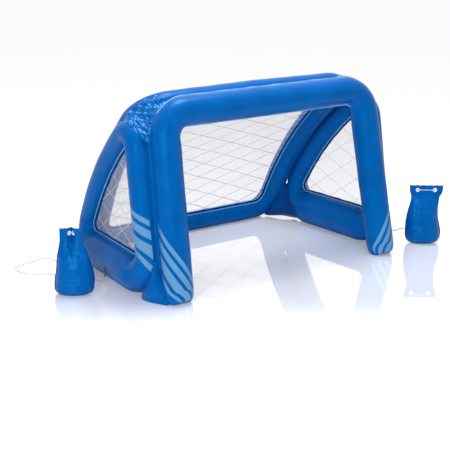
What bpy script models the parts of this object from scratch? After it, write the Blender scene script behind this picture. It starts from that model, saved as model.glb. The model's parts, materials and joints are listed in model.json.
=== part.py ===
"""Inflatable football goal: four air chambers welded side by side, with film windows that carry a
printed net, inflation valves, tie tabs and two weight bags on cords.

Metres, +Z up. The origin is on the floor in the middle of the goal, and the mouth faces -Y.
"""
import math
from types import SimpleNamespace

import bmesh
import bpy
import numpy as np
from mathutils import Matrix, Vector
from mathutils.geometry import convex_hull_2d

# Clearance between welded or touching pieces
GAP = 0.0003

# The goal as a whole
WIDTH = 1.400               # over the bottom tubes of the side rings
HEIGHT = 0.810              # floor to the crown of the rear ring's top bar
FLOOR_PRESS = 0.0020        # how deep a chamber is pressed flat where it lies on the floor

# Tube radii of the four chambers
LEG_RADIUS = 0.0615
BEAM_RADIUS = 0.0605
SIDE_FRONT_RADIUS = 0.050
SIDE_SLANT_RADIUS = 0.048
SIDE_BOTTOM_RADIUS = 0.081
REAR_SIDE_RADIUS = 0.054
REAR_TOP_RADIUS = 0.054
REAR_BOTTOM_RADIUS = 0.046
TUBE_SIDES = 16

# Front arch
BEAM_DROP = 0.009           # its crown lies this much below HEIGHT
LEG_LEAN = 0.1415           # the beam lies this far behind the feet
LEG_SPLAY = 0.025           # each foot stands this much further out than its top corner
ARCH_CORNER_RADIUS = 0.108
FOOT_LENGTH = 0.048         # the rounded end of a leg
SOLE_RADIUS = 0.045

# Side rings: the front tube lies beside the leg, turned from straight outwards by these angles
SIDE_TOP_TURN = math.radians(34.3)
SIDE_FOOT_TURN = math.radians(47.2)
SIDE_TOP_DROP = 0.099       # the lines of the front and slanted tubes meet this much below HEIGHT
SIDE_LENGTH = 0.617         # along the bottom tube, between the corners of its centre line
SIDE_TOE_IN = 0.042         # the rear corner lies this much further in than the front one
SLANT_BOW = 0.0575          # how far the slanted tube bows outwards
SIDE_TOP_CORNER = 0.072
SIDE_REAR_CORNER = 0.104
SIDE_FRONT_CORNER = 0.104

# Rear ring: its side tubes lie on the slanted tubes, turned from straight inwards by these angles
REAR_TOP_TURN = math.radians(44.0)
REAR_FOOT_TURN = math.radians(40.5)
REAR_TOP_CORNER = 0.118
REAR_BOTTOM_CORNER = 0.102
TOP_BAR_RISE = 0.006        # the top bar arches up by this much in the middle

# Film windows and the net printed on them
FILM_THICKNESS = 0.0005
PRINT_THICKNESS = 0.0003
NET_LINE = 0.0032
NET_BORDER = 0.005
BEND_ROWS = 9
REAR_NET_PITCH = 0.078      # square across the lines
REAR_NET_SLOPE = 0.43       # rise over run of both families of lines
REAR_NET_TURN = 0.0
SIDE_NET_PITCH = 0.088
SIDE_NET_SLOPE = 0.555
SIDE_NET_TURN = math.radians(-6)
SMALLEST_GAP_AREA = 0.00012

# Corner gussets and floor webs
WEB_THICKNESS = 0.0016

# Valves
FLANGE_RADIUS = 0.0155
FLANGE_THICKNESS = 0.0020
COLLAR_RADIUS = 0.0085
COLLAR_DEPTH = 0.0060
WELL_DEPTH = 0.0230
STEM_RADIUS = 0.0060
STEM_BORE = 0.0026
STEM_LENGTH = 0.0190
STEM_LIP_RADIUS = 0.0078
STEM_LIP_THICKNESS = 0.0016
PLUG_PIN_RADIUS = 0.0022
PLUG_PIN_TIP = 0.0013
PLUG_PIN_LENGTH = 0.0040
PLUG_HEAD_RADIUS = 0.0056
PLUG_HEAD_THICKNESS = 0.0014
PLUG_HINGE_REACH = 0.0086
STRAP_WIDTH = 0.0040
VALVE_STEPS = 16
REAR_VALVE_SIDE = 0.25      # along the rear bottom bar, from the middle
FRONT_VALVE_HEIGHT = 0.24
REAR_VALVE_TILT = math.radians(50)
SIDE_VALVE_DISTANCE = 0.440 # along the bottom tube, from its front corner
SIDE_VALVE_TILT = math.radians(-4)

# Tie tabs on the outer seam of the side rings
TAB_DISTANCE = 0.258        # along the bottom tube, from its front corner
TAB_WIDTH = 0.024
TAB_TOP = 0.078
TAB_BOTTOM = 0.032
TAB_THICKNESS = 0.0015
TAB_EYE_HEIGHT = 0.0440
LOOP_RADIUS = 0.0090        # of the cord's loop through the tab
TAB_KNOT_RADIUS = 0.0040

# Eyelets
EYELET_BORE = 0.0045
EYELET_BARREL = 0.0057
EYELET_FLANGE = 0.0095
EYELET_LIP = 0.0006
TAB_EYELET_BORE = 0.0035
TAB_EYELET_BARREL = 0.0045
TAB_EYELET_FLANGE = 0.0070
EYELET_STEPS = 12

# Weight bags
BAG_HEIGHT = 0.280
LEFT_BAG_DISTANCE = 0.211   # how far each bag reaches beyond the side of the goal
RIGHT_BAG_DISTANCE = 0.200
BAG_TURN = math.radians(36)
LEFT_BAG_Y = -0.075
RIGHT_BAG_Y = -0.392
BAG_HALF_WIDTH = 0.0825
BAG_HALF_DEPTH = 0.046
HEM_THICKNESS = 0.0030
BAG_EYE_DROP = 0.022        # the eyelets' centres below the bag's upper edge
BAG_EYE_SPACING = 0.080     # flat, between the two eyelets
BAG_LEAN = -0.020           # how far the folded top of the left bag leans along its width

# Cords
CORD_DIAMETER = 0.0035
CORD_SPACING = 0.0230       # between the points of a cord
KNOT_RADIUS = 0.0056

# Colours, roughness and metallic values
BLUE = (0.003, 0.118, 0.445)
DEEP_BLUE = (0.003, 0.085, 0.36)
FILM = (0.78, 0.80, 0.84)
WHITE = (0.80, 0.81, 0.83)
BLACK = (0.012, 0.012, 0.014)
CLEAR = (0.70, 0.74, 0.80)


# Small helpers

def unit(v):
    """A vector of length one."""
    return v / np.linalg.norm(v)


def mirrored(points):
    """The same points on the other side of the goal."""
    flipped = np.array(points, float)
    flipped[..., 0] *= -1
    return flipped


def ease(t):
    """Smooth step from 0 to 1."""
    t = np.clip(t, 0.0, 1.0)
    return t * t * (3 - 2 * t)


def edge(start, end, bow=0.0, normal=(0.0, 0.0, 0.0)):
    """A straight or bowed line from start to end: a function of 0 to 1 that gives point and direction."""
    start, end, normal = (np.asarray(v, float) for v in (start, end, normal))

    def at(t):
        point = start + (end - start) * t + 4 * bow * t * (1 - t) * normal
        direction = unit((end - start) + 4 * bow * (1 - 2 * t) * normal)
        return point, direction

    return at


def setback(line_in, line_out, radius):
    """How far from their corner a round of this radius leaves two lines."""
    into, out = line_in(1.0)[1], line_out(0.0)[1]
    turn = math.acos(float(np.clip(into @ out, -1, 1)))
    return radius * math.tan(turn / 2)


def line_length(line):
    """Length of a line, measured along eight chords."""
    points = np.array([line(t)[0] for t in np.linspace(0, 1, 9)])
    return float(np.linalg.norm(np.diff(points, axis=0), axis=1).sum())


def rounding(start, leaving, end, arriving, steps):
    """Inner points of a round corner: a cubic that follows both directions and is as round as an arc."""
    turn = math.acos(float(np.clip(leaving @ arriving, -1, 1)))
    reach = np.linalg.norm(end - start) * (2 / 3) * math.tan(turn / 4) / math.sin(turn / 2)
    first, second = start + leaving * reach, end - arriving * reach
    t = np.linspace(0, 1, steps + 1)[1:-1, None]
    return (1 - t) ** 3 * start + 3 * t * (1 - t) ** 2 * first + 3 * t * t * (1 - t) * second + t ** 3 * end


def tube_path(lines, radii, corners, steps, closed, corner_steps=6):
    """Centre line and radii of a tube that follows some lines with round corners between them.

    lines are edges, radii their tube radii, corners the rounding radii (after each line), and steps
    the number of stretches that each line is cut into.
    """
    count = len(lines)
    starts, ends = [0.0] * count, [1.0] * count
    for i in range(count if closed else count - 1):
        j = (i + 1) % count
        back = setback(lines[i], lines[j], corners[i])
        ends[i] = 1 - back / line_length(lines[i])
        starts[j] = back / line_length(lines[j])
    points, sizes = [], []
    for i in range(count):
        stretch = np.linspace(starts[i], ends[i], steps[i] + 1)
        points += [lines[i](t)[0] for t in stretch]
        sizes += [radii[i]] * len(stretch)
        if closed or i < count - 1:
            j = (i + 1) % count
            p, leaving = lines[i](ends[i])
            q, arriving = lines[j](starts[j])
            inner = rounding(p, leaving, q, arriving, corner_steps)
            points += list(inner)
            share = ease(np.arange(1, corner_steps) / corner_steps)
            sizes += list(radii[i] + (radii[j] - radii[i]) * share)
    return np.array(points), np.array(sizes)


def bisectors(points, closed):
    """Direction of travel at each point of a path: midway between the chords that meet there."""
    ahead = np.roll(points, -1, axis=0) - points
    ahead = ahead / np.maximum(np.linalg.norm(ahead, axis=1), 1e-12)[:, None]
    behind = np.roll(ahead, 1, axis=0)
    if not closed:
        ahead[-1], behind[0] = ahead[-2], ahead[0]
    both = ahead + behind
    return both / np.linalg.norm(both, axis=1)[:, None]


# Lay-out of the goal's centre lines, in metres, from the sizes above

def rear_side_line(lines, slant):
    """Centre line of a rear ring's side tube, laid along the slanted tube of the side ring."""
    distance = SIDE_SLANT_RADIUS + REAR_SIDE_RADIUS + GAP
    inner = lines.side_normal
    params = np.linspace(-0.14, 1.14, 129)
    points = []
    for t in params:
        point, direction = slant(t)
        outwards = np.cross(inner, direction)
        outwards *= np.sign(outwards[1])
        turn = REAR_TOP_TURN + (REAR_FOOT_TURN - REAR_TOP_TURN) * t
        points.append(point + distance * (math.sin(turn) * outwards - math.cos(turn) * inner))
    points = np.array(points)
    low, high = REAR_BOTTOM_RADIUS - FLOOR_PRESS, HEIGHT - TOP_BAR_RISE - REAR_TOP_RADIUS
    top = float(np.interp(-high, -points[:, 2], params))
    foot = float(np.interp(-low, -points[:, 2], params))

    def at(t):
        """From the foot, t = 0, to the top, t = 1."""
        here = foot + (top - foot) * t
        point = np.array([np.interp(here, params, points[:, k]) for k in range(3)])
        ahead = np.array([np.interp(here - 0.01, params, points[:, k]) for k in range(3)])
        behind = np.array([np.interp(here + 0.01, params, points[:, k]) for k in range(3)])
        return point, unit(ahead - behind)

    return at


def lay_out():
    """All centre lines of the right half, centred between front and back."""
    lines = SimpleNamespace()
    beam_height = HEIGHT - BEAM_DROP - BEAM_RADIUS
    lean = math.atan2(LEG_LEAN, beam_height - LEG_RADIUS)
    reach = (LEG_RADIUS + SIDE_FRONT_RADIUS + GAP) / math.cos((SIDE_FOOT_TURN - SIDE_TOP_TURN) / 2)
    # The leg leans back, so the two axes lie closer together than their horizontal distance.
    reach /= math.sqrt(1 - (math.sin(lean) * math.sin(SIDE_FOOT_TURN)) ** 2)
    # The bottom tube is outermost where its straight stretch begins, behind the round front corner.
    toe = SIDE_TOE_IN / SIDE_LENGTH
    straight_from = SIDE_FRONT_CORNER * math.tan(math.radians(49))
    front_x = WIDTH / 2 - SIDE_BOTTOM_RADIUS * math.sqrt(1 - toe ** 2) + toe * straight_from
    rise = (SIDE_BOTTOM_RADIUS - LEG_RADIUS) / (beam_height - LEG_RADIUS)
    foot_x = front_x - reach * math.cos(SIDE_FOOT_TURN) + LEG_SPLAY * rise
    foot = np.array([foot_x, LEG_RADIUS, LEG_RADIUS])
    corner = np.array([foot_x - LEG_SPLAY, foot[1] + LEG_LEAN, beam_height])

    def beside_leg(height, turn):
        on_leg = foot + (corner - foot) * (height - foot[2]) / (corner[2] - foot[2])
        return on_leg + reach * np.array([math.cos(turn), math.sin(turn), 0.0])

    front = beside_leg(SIDE_BOTTOM_RADIUS - FLOOR_PRESS, SIDE_FOOT_TURN)
    top = beside_leg(HEIGHT - SIDE_TOP_DROP, SIDE_TOP_TURN)
    rear = front + np.array([-SIDE_TOE_IN, math.sqrt(SIDE_LENGTH ** 2 - SIDE_TOE_IN ** 2), 0.0])
    lines.side_normal = unit(np.cross(rear - front, top - front))
    along = unit(rear - top)
    bow_normal = np.cross(lines.side_normal, along)
    bow_normal *= np.sign(bow_normal[1])
    slant = edge(top, rear, SLANT_BOW, bow_normal)
    rear_side = rear_side_line(lines, slant)
    bar_end, bar_top = rear_side(0.0)[0], rear_side(1.0)[0]
    step = HEIGHT - TOP_BAR_RISE - REAR_TOP_RADIUS - beam_height
    behind_beam = corner[1] + math.sqrt((BEAM_RADIUS + REAR_TOP_RADIUS + GAP) ** 2 - step ** 2)

    # Everything moves forwards by half the depth, so that the origin is in the middle.
    depth = bar_end[1] + REAR_BOTTOM_RADIUS
    shift = np.array([0.0, -depth / 2, 0.0])
    lines.depth = depth
    lines.foot, lines.corner = foot + shift, corner + shift
    lines.front, lines.top, lines.rear = front + shift, top + shift, rear + shift
    lines.slant = edge(lines.top, lines.rear, SLANT_BOW, bow_normal)
    lines.side_front = edge(lines.front, lines.top)
    lines.side_bottom = edge(lines.rear, lines.front)
    lines.leg = edge(lines.corner, lines.foot)
    lines.beam = edge(np.array([0.0, lines.corner[1], beam_height]), lines.corner)
    lines.rear_side = lambda t: (rear_side(t)[0] + shift, rear_side(t)[1])
    low = lines.rear_side(0.0)[0]
    high = lines.rear_side(1.0)[0]
    lines.rear_bottom = edge(np.array([0.0, low[1], low[2]]), low)
    bar_y = behind_beam + shift[1]
    lines.rear_top = edge(np.array([high[0], bar_y, high[2]]), np.array([0.0, bar_y, high[2] + TOP_BAR_RISE]))
    return lines


# Blender objects

def collection(name):
    made = bpy.data.collections.new(name)
    bpy.context.scene.collection.children.link(made)
    return made


def material(name, colour, roughness, metallic=0.0):
    made = bpy.data.materials.new(name)
    made.use_nodes = True
    shader = made.node_tree.nodes["Principled BSDF"]
    shader.inputs["Base Color"].default_value = (*colour, 1.0)
    shader.inputs["Roughness"].default_value = roughness
    shader.inputs["Metallic"].default_value = metallic
    made.diffuse_color = (*colour, 1.0)
    return made


def add_object(name, data, where, finish=None):
    made = bpy.data.objects.new(name, data)
    where.objects.link(made)
    if finish is not None:
        data.materials.clear()
        data.materials.append(finish)
    return made


def mesh_object(name, mesh, where, finish=None, smooth=35):
    """A mesh as an object, with its faces outwards and its round parts shaded smooth."""
    work = bmesh.new()
    work.from_mesh(mesh)
    bmesh.ops.remove_doubles(work, verts=work.verts, dist=1e-6)
    bmesh.ops.recalc_face_normals(work, faces=work.faces)
    work.to_mesh(mesh)
    work.free()
    mesh.shade_smooth()
    mesh.set_sharp_from_angle(angle=math.radians(smooth))
    return add_object(name, mesh, where, finish)


def poly_curve(name, points, sizes, closed, resolution):
    """A round tube along points as a curve object, one radius a point, with filled caps if open."""
    curve = bpy.data.curves.new(name, "CURVE")
    curve.dimensions = "3D"
    curve.bevel_depth = 1.0
    curve.bevel_resolution = resolution
    curve.use_fill_caps = not closed
    spline = curve.splines.new("POLY")
    spline.points.add(len(points) - 1)
    for knot, point, size in zip(spline.points, points, sizes):
        knot.co = (*point, 1.0)
        knot.radius = size
    spline.use_cyclic_u = closed
    return bpy.data.objects.new(name, curve)


def curve_to_mesh(name, source):
    """The mesh of a curve object that is then removed, with its caps welded on."""
    bpy.context.scene.collection.objects.link(source)
    bpy.context.view_layer.update()
    graph = bpy.context.evaluated_depsgraph_get()
    mesh = bpy.data.meshes.new_from_object(source.evaluated_get(graph))
    mesh.transform(source.matrix_world)
    curve = source.data
    bpy.data.objects.remove(source)
    bpy.data.curves.remove(curve)
    mesh.name = name
    return mesh


def tube(name, points, sizes, closed, where, finish, resolution=(TUBE_SIDES - 4) // 2):
    """A closed round tube as a mesh object."""
    mesh = curve_to_mesh(name, poly_curve(name, points, sizes, closed, resolution))
    return mesh_object(name, mesh, where, finish)


def from_bmesh(name, work, where, finish=None, smooth=35):
    mesh = bpy.data.meshes.new(name)
    work.to_mesh(mesh)
    work.free()
    return mesh_object(name, mesh, where, finish, smooth)


def cylinder(name, radius, low, high, where, finish=None, steps=VALVE_STEPS, top_radius=None):
    """A cylinder or cone about local Z, from low to high."""
    work = bmesh.new()
    bmesh.ops.create_cone(work, cap_ends=True, segments=steps, radius1=radius,
                          radius2=radius if top_radius is None else top_radius, depth=high - low,
                          matrix=Matrix.Translation((0, 0, (low + high) / 2)))
    return from_bmesh(name, work, where, finish)


def box(name, low, high, where, finish=None):
    work = bmesh.new()
    size = [b - a for a, b in zip(low, high)]
    centre = [(a + b) / 2 for a, b in zip(low, high)]
    bmesh.ops.create_cube(work, size=1.0, matrix=Matrix.Translation(centre) @ Matrix.Diagonal((*size, 1.0)))
    return from_bmesh(name, work, where, finish)


def turned(name, profile, steps, where, finish=None):
    """A ring turned about local Z from a closed profile of (radius, height) points."""
    mesh = bpy.data.meshes.new(name)
    count = len(profile)
    mesh.from_pydata([(r, 0.0, z) for r, z in profile], [(i, (i + 1) % count) for i in range(count)], [])
    made = add_object(name, mesh, where, finish)
    screw = made.modifiers.new("turn", "SCREW")
    screw.steps = steps
    screw.render_steps = steps
    screw.use_merge_vertices = True
    screw.merge_threshold = 1e-6
    screw.use_normal_calculate = True
    return made


def boolean(target, other, operation="DIFFERENCE"):
    modifier = target.modifiers.new(other.name, "BOOLEAN")
    modifier.solver = "EXACT"
    modifier.operation = operation
    modifier.object = other
    return modifier


def hide_cutter(cutter):
    cutter.hide_render = True
    cutter.display_type = "WIRE"
    return cutter


def applied(made):
    """The object with its modifiers applied to its mesh."""
    bpy.context.view_layer.update()
    graph = bpy.context.evaluated_depsgraph_get()
    old = made.data
    mesh = bpy.data.meshes.new_from_object(made.evaluated_get(graph))
    made.modifiers.clear()
    made.data = mesh
    mesh.name = old.name
    return made


# Chambers

def foot_end(lines):
    """Points and radii of a leg's rounded end, from the leg down to the flat sole on the floor."""
    heights = FOOT_LENGTH * np.array([0.72, 0.45, 0.22, 0.07, 0.0])
    down = (FOOT_LENGTH - heights) / FOOT_LENGTH
    sizes = SOLE_RADIUS + (LEG_RADIUS - SOLE_RADIUS) * np.sqrt(np.maximum(1 - down ** 2.6, 0))
    points = np.array([[lines.foot[0], lines.foot[1], z] for z in heights])
    return points, sizes


def arch_path(lines):
    """Centre line of the front arch, from foot to foot."""
    half, sizes = tube_path([lines.beam, lines.leg], [BEAM_RADIUS, LEG_RADIUS], [ARCH_CORNER_RADIUS],
                            [4, 6], closed=False)
    end, end_sizes = foot_end(lines)
    half, sizes = np.vstack([half, end]), np.concatenate([sizes, end_sizes])
    return np.vstack([mirrored(half[:0:-1]), half]), np.concatenate([sizes[:0:-1], sizes])


def side_path(lines):
    """Centre line of the right side ring."""
    return tube_path([lines.side_front, lines.slant, lines.side_bottom],
                     [SIDE_FRONT_RADIUS, SIDE_SLANT_RADIUS, SIDE_BOTTOM_RADIUS],
                     [SIDE_TOP_CORNER, SIDE_REAR_CORNER, SIDE_FRONT_CORNER], [4, 7, 3], closed=True)


def rear_path(lines):
    """Centre line of the rear ring, from the middle of its bottom bar round by the right side."""
    half, sizes = tube_path([lines.rear_bottom, lines.rear_side, lines.rear_top],
                            [REAR_BOTTOM_RADIUS, REAR_SIDE_RADIUS, REAR_TOP_RADIUS],
                            [REAR_BOTTOM_CORNER, REAR_TOP_CORNER], [3, 8, 4], closed=False)
    return np.vstack([half, mirrored(half[-2:0:-1])]), np.concatenate([sizes, sizes[-2:0:-1]])


def floor_cutter(where):
    """Everything below the floor, as a cutter."""
    reach = WIDTH
    return hide_cutter(box("floor_cutter", (-reach, -reach, -0.1), (reach, reach, 0.0), where))


# Windows

def offset_outline(points, sizes, beyond):
    """The window side of a flat closed tube: each point moved inwards by its tube's radius and more."""
    travel = bisectors(points, True)
    inwards = np.stack([-travel[:, 1], travel[:, 0]], axis=1)
    middle = points.mean(axis=0)
    if ((middle - points) * inwards).sum() < 0:
        inwards = -inwards
    return points + inwards * (sizes + beyond)[:, None]


def clip_polygon(polygon, outline):
    """The part of a convex polygon inside a convex outline that runs anticlockwise."""
    for a, b in zip(outline, np.roll(outline, -1, axis=0)):
        side = (b[0] - a[0]) * (polygon[:, 1] - a[1]) - (b[1] - a[1]) * (polygon[:, 0] - a[0])
        kept = []
        for i in range(len(polygon)):
            j = (i + 1) % len(polygon)
            if side[i] >= 0:
                kept.append(polygon[i])
            if (side[i] >= 0) != (side[j] >= 0):
                share = side[i] / (side[i] - side[j])
                kept.append(polygon[i] + (polygon[j] - polygon[i]) * share)
        if len(kept) < 3:
            return None
        polygon = np.array(kept)
    return polygon


def area(polygon):
    x, y = polygon[:, 0], polygon[:, 1]
    return float(np.dot(x, np.roll(y, -1)) - np.dot(y, np.roll(x, -1))) / 2


def convex(outline):
    """The convex hull of an outline, anticlockwise."""
    hull = outline[convex_hull_2d([tuple(point) for point in outline])]
    return anticlockwise(hull)


def without_short_sides(polygon, least):
    """The polygon without the corners that lie closer than this to the one before them."""
    kept = [polygon[0]]
    for point in polygon[1:]:
        if np.linalg.norm(point - kept[-1]) > least:
            kept.append(point)
    if np.linalg.norm(kept[0] - kept[-1]) <= least:
        kept.pop()
    return np.array(kept)


def net_gaps(outline, pitch, slope, turn):
    """The diamonds between two families of lines, cut to the outline and with the line width left."""
    centre = outline.mean(axis=0)
    lean = math.atan(slope)
    first = np.array([-math.sin(turn + lean), math.cos(turn + lean)])
    second = np.array([-math.sin(turn - lean), math.cos(turn - lean)])
    to_plane = np.linalg.inv(np.array([first, second]))
    spans = (outline - centre) @ np.array([first, second]).T
    low = np.floor(spans.min(axis=0) / pitch).astype(int) - 1
    high = np.ceil(spans.max(axis=0) / pitch).astype(int) + 1
    inset = NET_LINE / 2
    gaps = []
    for i in range(low[0], high[0]):
        for j in range(low[1], high[1]):
            a0, a1 = i * pitch + inset, (i + 1) * pitch - inset
            b0, b1 = j * pitch + inset, (j + 1) * pitch - inset
            corners = np.array([(a0, b0), (a1, b0), (a1, b1), (a0, b1)]) @ to_plane.T + centre
            if area(corners) < 0:
                corners = corners[::-1]
            cut = clip_polygon(corners, outline)
            if cut is None or area(cut) < SMALLEST_GAP_AREA:
                continue
            cut = without_short_sides(cut, NET_LINE)
            if len(cut) >= 3 and area(cut) > SMALLEST_GAP_AREA:
                gaps.append(cut)
    return gaps


def flat_sheet(name, outline, gaps, thickness):
    """A flat sheet with holes, in the XY plane, as a mesh: a filled 2D curve with an extrude."""
    curve = bpy.data.curves.new(name, "CURVE")
    curve.dimensions = "2D"
    curve.fill_mode = "BOTH"
    curve.extrude = thickness / 2
    for ring in [outline, *gaps]:
        spline = curve.splines.new("POLY")
        spline.points.add(len(ring) - 1)
        for knot, point in zip(spline.points, ring):
            knot.co = (point[0], point[1], 0.0, 1.0)
        spline.use_cyclic_u = True
    return curve_to_mesh(name, bpy.data.objects.new(name, curve))


def placed_sheet(name, outline, gaps, thickness, rows, place, where, finish):
    """A flat sheet cut along rows and then laid in space by place(points)."""
    mesh = flat_sheet(name, outline, gaps, thickness)
    work = bmesh.new()
    work.from_mesh(mesh)
    bmesh.ops.remove_doubles(work, verts=work.verts, dist=1e-6)
    for row in rows:
        bmesh.ops.bisect_plane(work, geom=[*work.verts, *work.edges, *work.faces], dist=1e-7,
                               plane_co=(0, row, 0), plane_no=(0, 1, 0))
    bmesh.ops.triangulate(work, faces=work.faces)
    flat = np.array([vertex.co for vertex in work.verts])
    for vertex, point in zip(work.verts, place(flat)):
        vertex.co = point
    work.to_mesh(mesh)
    work.free()
    return mesh_object(name, mesh, where, finish)


def rear_surface(lines):
    """The bent surface of the rear window: rows along its height and how a flat sheet is laid on it."""
    ends = np.array([lines.rear_side(t)[0][1:] for t in np.linspace(0, 1, BEND_ROWS + 1)])
    rows = np.concatenate([[0.0], np.cumsum(np.linalg.norm(np.diff(ends, axis=0), axis=1))])
    slopes = np.diff(ends, axis=0) / np.diff(rows)[:, None]
    normals = np.stack([-slopes[:, 1], slopes[:, 0]], axis=1)
    at_rows = np.vstack([normals[:1], (normals[1:] + normals[:-1]) / 2, normals[-1:]])
    at_rows /= np.linalg.norm(at_rows, axis=1)[:, None]

    def height_to_row(z):
        return np.interp(z, ends[:, 1], rows)

    def place(flat, lift=0.0):
        y = np.interp(flat[:, 1], rows, ends[:, 0])
        z = np.interp(flat[:, 1], rows, ends[:, 1])
        ny = np.interp(flat[:, 1], rows, at_rows[:, 0])
        nz = np.interp(flat[:, 1], rows, at_rows[:, 1])
        off = flat[:, 2] + lift
        return np.stack([flat[:, 0], y + ny * off, z + nz * off], axis=1)

    return rows, height_to_row, place


def side_surface(lines, side):
    """The flat plane of a side window: how a flat sheet is laid on it, its lift counted inwards."""
    along = unit(lines.rear - lines.front)
    up = np.cross(lines.side_normal, along)
    up *= np.sign(up[2])
    inner = -lines.side_normal * np.sign(lines.side_normal[0])

    def flatten(points):
        away = points - lines.front
        return np.stack([away @ along, away @ up], axis=1)

    def place(flat, lift=0.0):
        off = (flat[:, 2] + lift)[:, None]
        points = lines.front + flat[:, :1] * along + flat[:, 1:2] * up + off * inner
        return points if side > 0 else mirrored(points)

    return flatten, place


def anticlockwise(outline):
    return outline if area(outline) > 0 else outline[::-1]


def make_windows(lines, rear, side, where, finishes):
    """The film and the printed net of the rear ring and of both side rings."""
    lift = FILM_THICKNESS / 2 + GAP + PRINT_THICKNESS / 2
    points, sizes = rear
    rows, height_to_row, place = rear_surface(lines)
    flat = np.stack([points[:, 0], height_to_row(points[:, 2])], axis=1)
    # The rear window's printed side faces the mouth, which is the side its normals point away from.
    print_lift = -lift
    film = anticlockwise(offset_outline(flat, sizes, GAP))
    hem = convex(offset_outline(flat, sizes, GAP + NET_BORDER))
    placed_sheet("rear_film", film, [], FILM_THICKNESS, rows[1:-1], place, where, finishes.film)
    gaps = net_gaps(hem, REAR_NET_PITCH, REAR_NET_SLOPE, REAR_NET_TURN)
    placed_sheet("rear_net", film, gaps, PRINT_THICKNESS, rows[1:-1],
                 lambda p: place(p, print_lift), where, finishes.white)
    points, sizes = side
    for label, sign in (("left", -1), ("right", 1)):
        flatten, place = side_surface(lines, sign)
        flat = flatten(points)
        film = anticlockwise(offset_outline(flat, sizes, GAP))
        hem = convex(offset_outline(flat, sizes, GAP + NET_BORDER))
        placed_sheet(f"side_film_{label}", film, [], FILM_THICKNESS, [], place, where, finishes.film)
        gaps = net_gaps(hem, SIDE_NET_PITCH, SIDE_NET_SLOPE, SIDE_NET_TURN)
        placed_sheet(f"side_net_{label}", film, gaps, PRINT_THICKNESS, [],
                     lambda p, lay=place: lay(p, lift), where, finishes.white)


# Corner gussets and floor webs

def beside(p, q, p_radius, q_radius):
    """The point where two tubes touch, between the centres p and q."""
    return p + (q - p) * p_radius / (p_radius + q_radius)


def triangle_patch(name, corners, bulge, shaved_by, where, finish):
    """A thin triangular patch that bulges along its normal and is cut to the tubes around it."""
    a, b, c = (np.array(point, float) for point in corners)
    normal = unit(np.cross(b - a, c - a))
    work = bmesh.new()
    face = work.faces.new([work.verts.new(point) for point in (a, b, c)])
    bmesh.ops.subdivide_edges(work, edges=face.edges[:], cuts=4, use_grid_fill=True)
    to_shares = np.linalg.inv(np.array([a, b, c]).T)
    for vertex in work.verts:
        shares = np.clip(to_shares @ np.array(vertex.co), 0, 1)
        vertex.co += Vector(normal * bulge * 27 * shares.prod())
    mesh = bpy.data.meshes.new(name)
    work.to_mesh(mesh)
    work.free()
    made = add_object(name, mesh, where, finish)
    solid = made.modifiers.new("thickness", "SOLIDIFY")
    solid.thickness = WEB_THICKNESS
    solid.offset = 0
    for cutter in shaved_by:
        boolean(made, cutter)
    return largest_piece(applied(made))


def largest_piece(made):
    """Only the largest of the loose pieces of an object, shaded smooth."""
    work = bmesh.new()
    work.from_mesh(made.data)
    bmesh.ops.remove_doubles(work, verts=work.verts, dist=1e-6)
    left = set(work.verts)
    pieces = []
    while left:
        piece, queue = set(), [left.pop()]
        while queue:
            vertex = queue.pop()
            piece.add(vertex)
            for side in vertex.link_edges:
                other = side.other_vert(vertex)
                if other in left:
                    left.remove(other)
                    queue.append(other)
        pieces.append(piece)
    pieces.sort(key=len)
    bmesh.ops.delete(work, geom=[vertex for piece in pieces[:-1] for vertex in piece], context="VERTS")
    bmesh.ops.recalc_face_normals(work, faces=work.faces)
    work.to_mesh(made.data)
    work.free()
    made.data.shade_smooth()
    made.data.set_sharp_from_angle(angle=math.radians(35))
    return made


def make_webs(lines, fat, where, finishes):
    """The gathered gusset at each top corner and the dark web at each rear corner."""
    beam_end = lines.corner + np.array([-ARCH_CORNER_RADIUS, 0, 0])
    bar_end = lines.rear_top(0.0)[0]
    bar_end[0] = beam_end[0]
    over = beside(beam_end, bar_end, BEAM_RADIUS, REAR_TOP_RADIUS) + np.array([0, 0, 0.030])
    leg = lines.leg(0.20)[0]
    along = (leg[2] - lines.front[2]) / (lines.top[2] - lines.front[2])
    front_tube = lines.side_front(along)[0]
    forwards = unit(np.cross(front_tube - leg, [0, 0, 1.0]))
    low = beside(leg, front_tube, LEG_RADIUS, SIDE_FRONT_RADIUS) + 0.030 * forwards
    slanted, rear_side = lines.slant(0.13)[0], lines.rear_side(0.93)[0]
    away = unit(np.cross(rear_side - slanted, lines.slant(0.13)[1]))
    away *= np.sign(away[0])
    back = beside(slanted, rear_side, SIDE_SLANT_RADIUS, REAR_SIDE_RADIUS) + 0.030 * away
    corners = np.array([over, low, back])
    apex = beside(lines.slant(0.86)[0], lines.rear_side(0.16)[0], SIDE_SLANT_RADIUS, REAR_SIDE_RADIUS)
    inner = np.array([lines.rear_side(0)[0][0] - 0.03, lines.rear_bottom(1)[0][1] - 0.02, 0.012])
    outer = np.array([lines.rear[0], lines.rear[1] - 0.09, 0.012])
    floor_corners = np.array([apex, inner, outer])
    for label, flip in (("left", mirrored), ("right", np.array)):
        around = [fat["front_arch"], fat["rear_ring"], fat[f"side_ring_{label}"]]
        sign = 1 if label == "right" else -1
        triangle_patch(f"corner_gusset_{label}", flip(corners), sign * 0.010, around, where, finishes.blue)
        triangle_patch(f"rear_web_{label}", flip(floor_corners), 0.0, around[1:], where, finishes.deep)


# Valves

def frame_at(origin, outwards, along):
    """A matrix with its Z outwards and its X as near as can be along the tube."""
    z = unit(np.array(outwards, float))
    x = np.array(along, float)
    x = unit(x - z * (x @ z))
    y = np.cross(z, x)
    matrix = Matrix.Identity(4)
    for column, vector in enumerate((x, y, z, np.array(origin, float))):
        for row in range(3):
            matrix[row][column] = vector[row]
    return matrix


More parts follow.
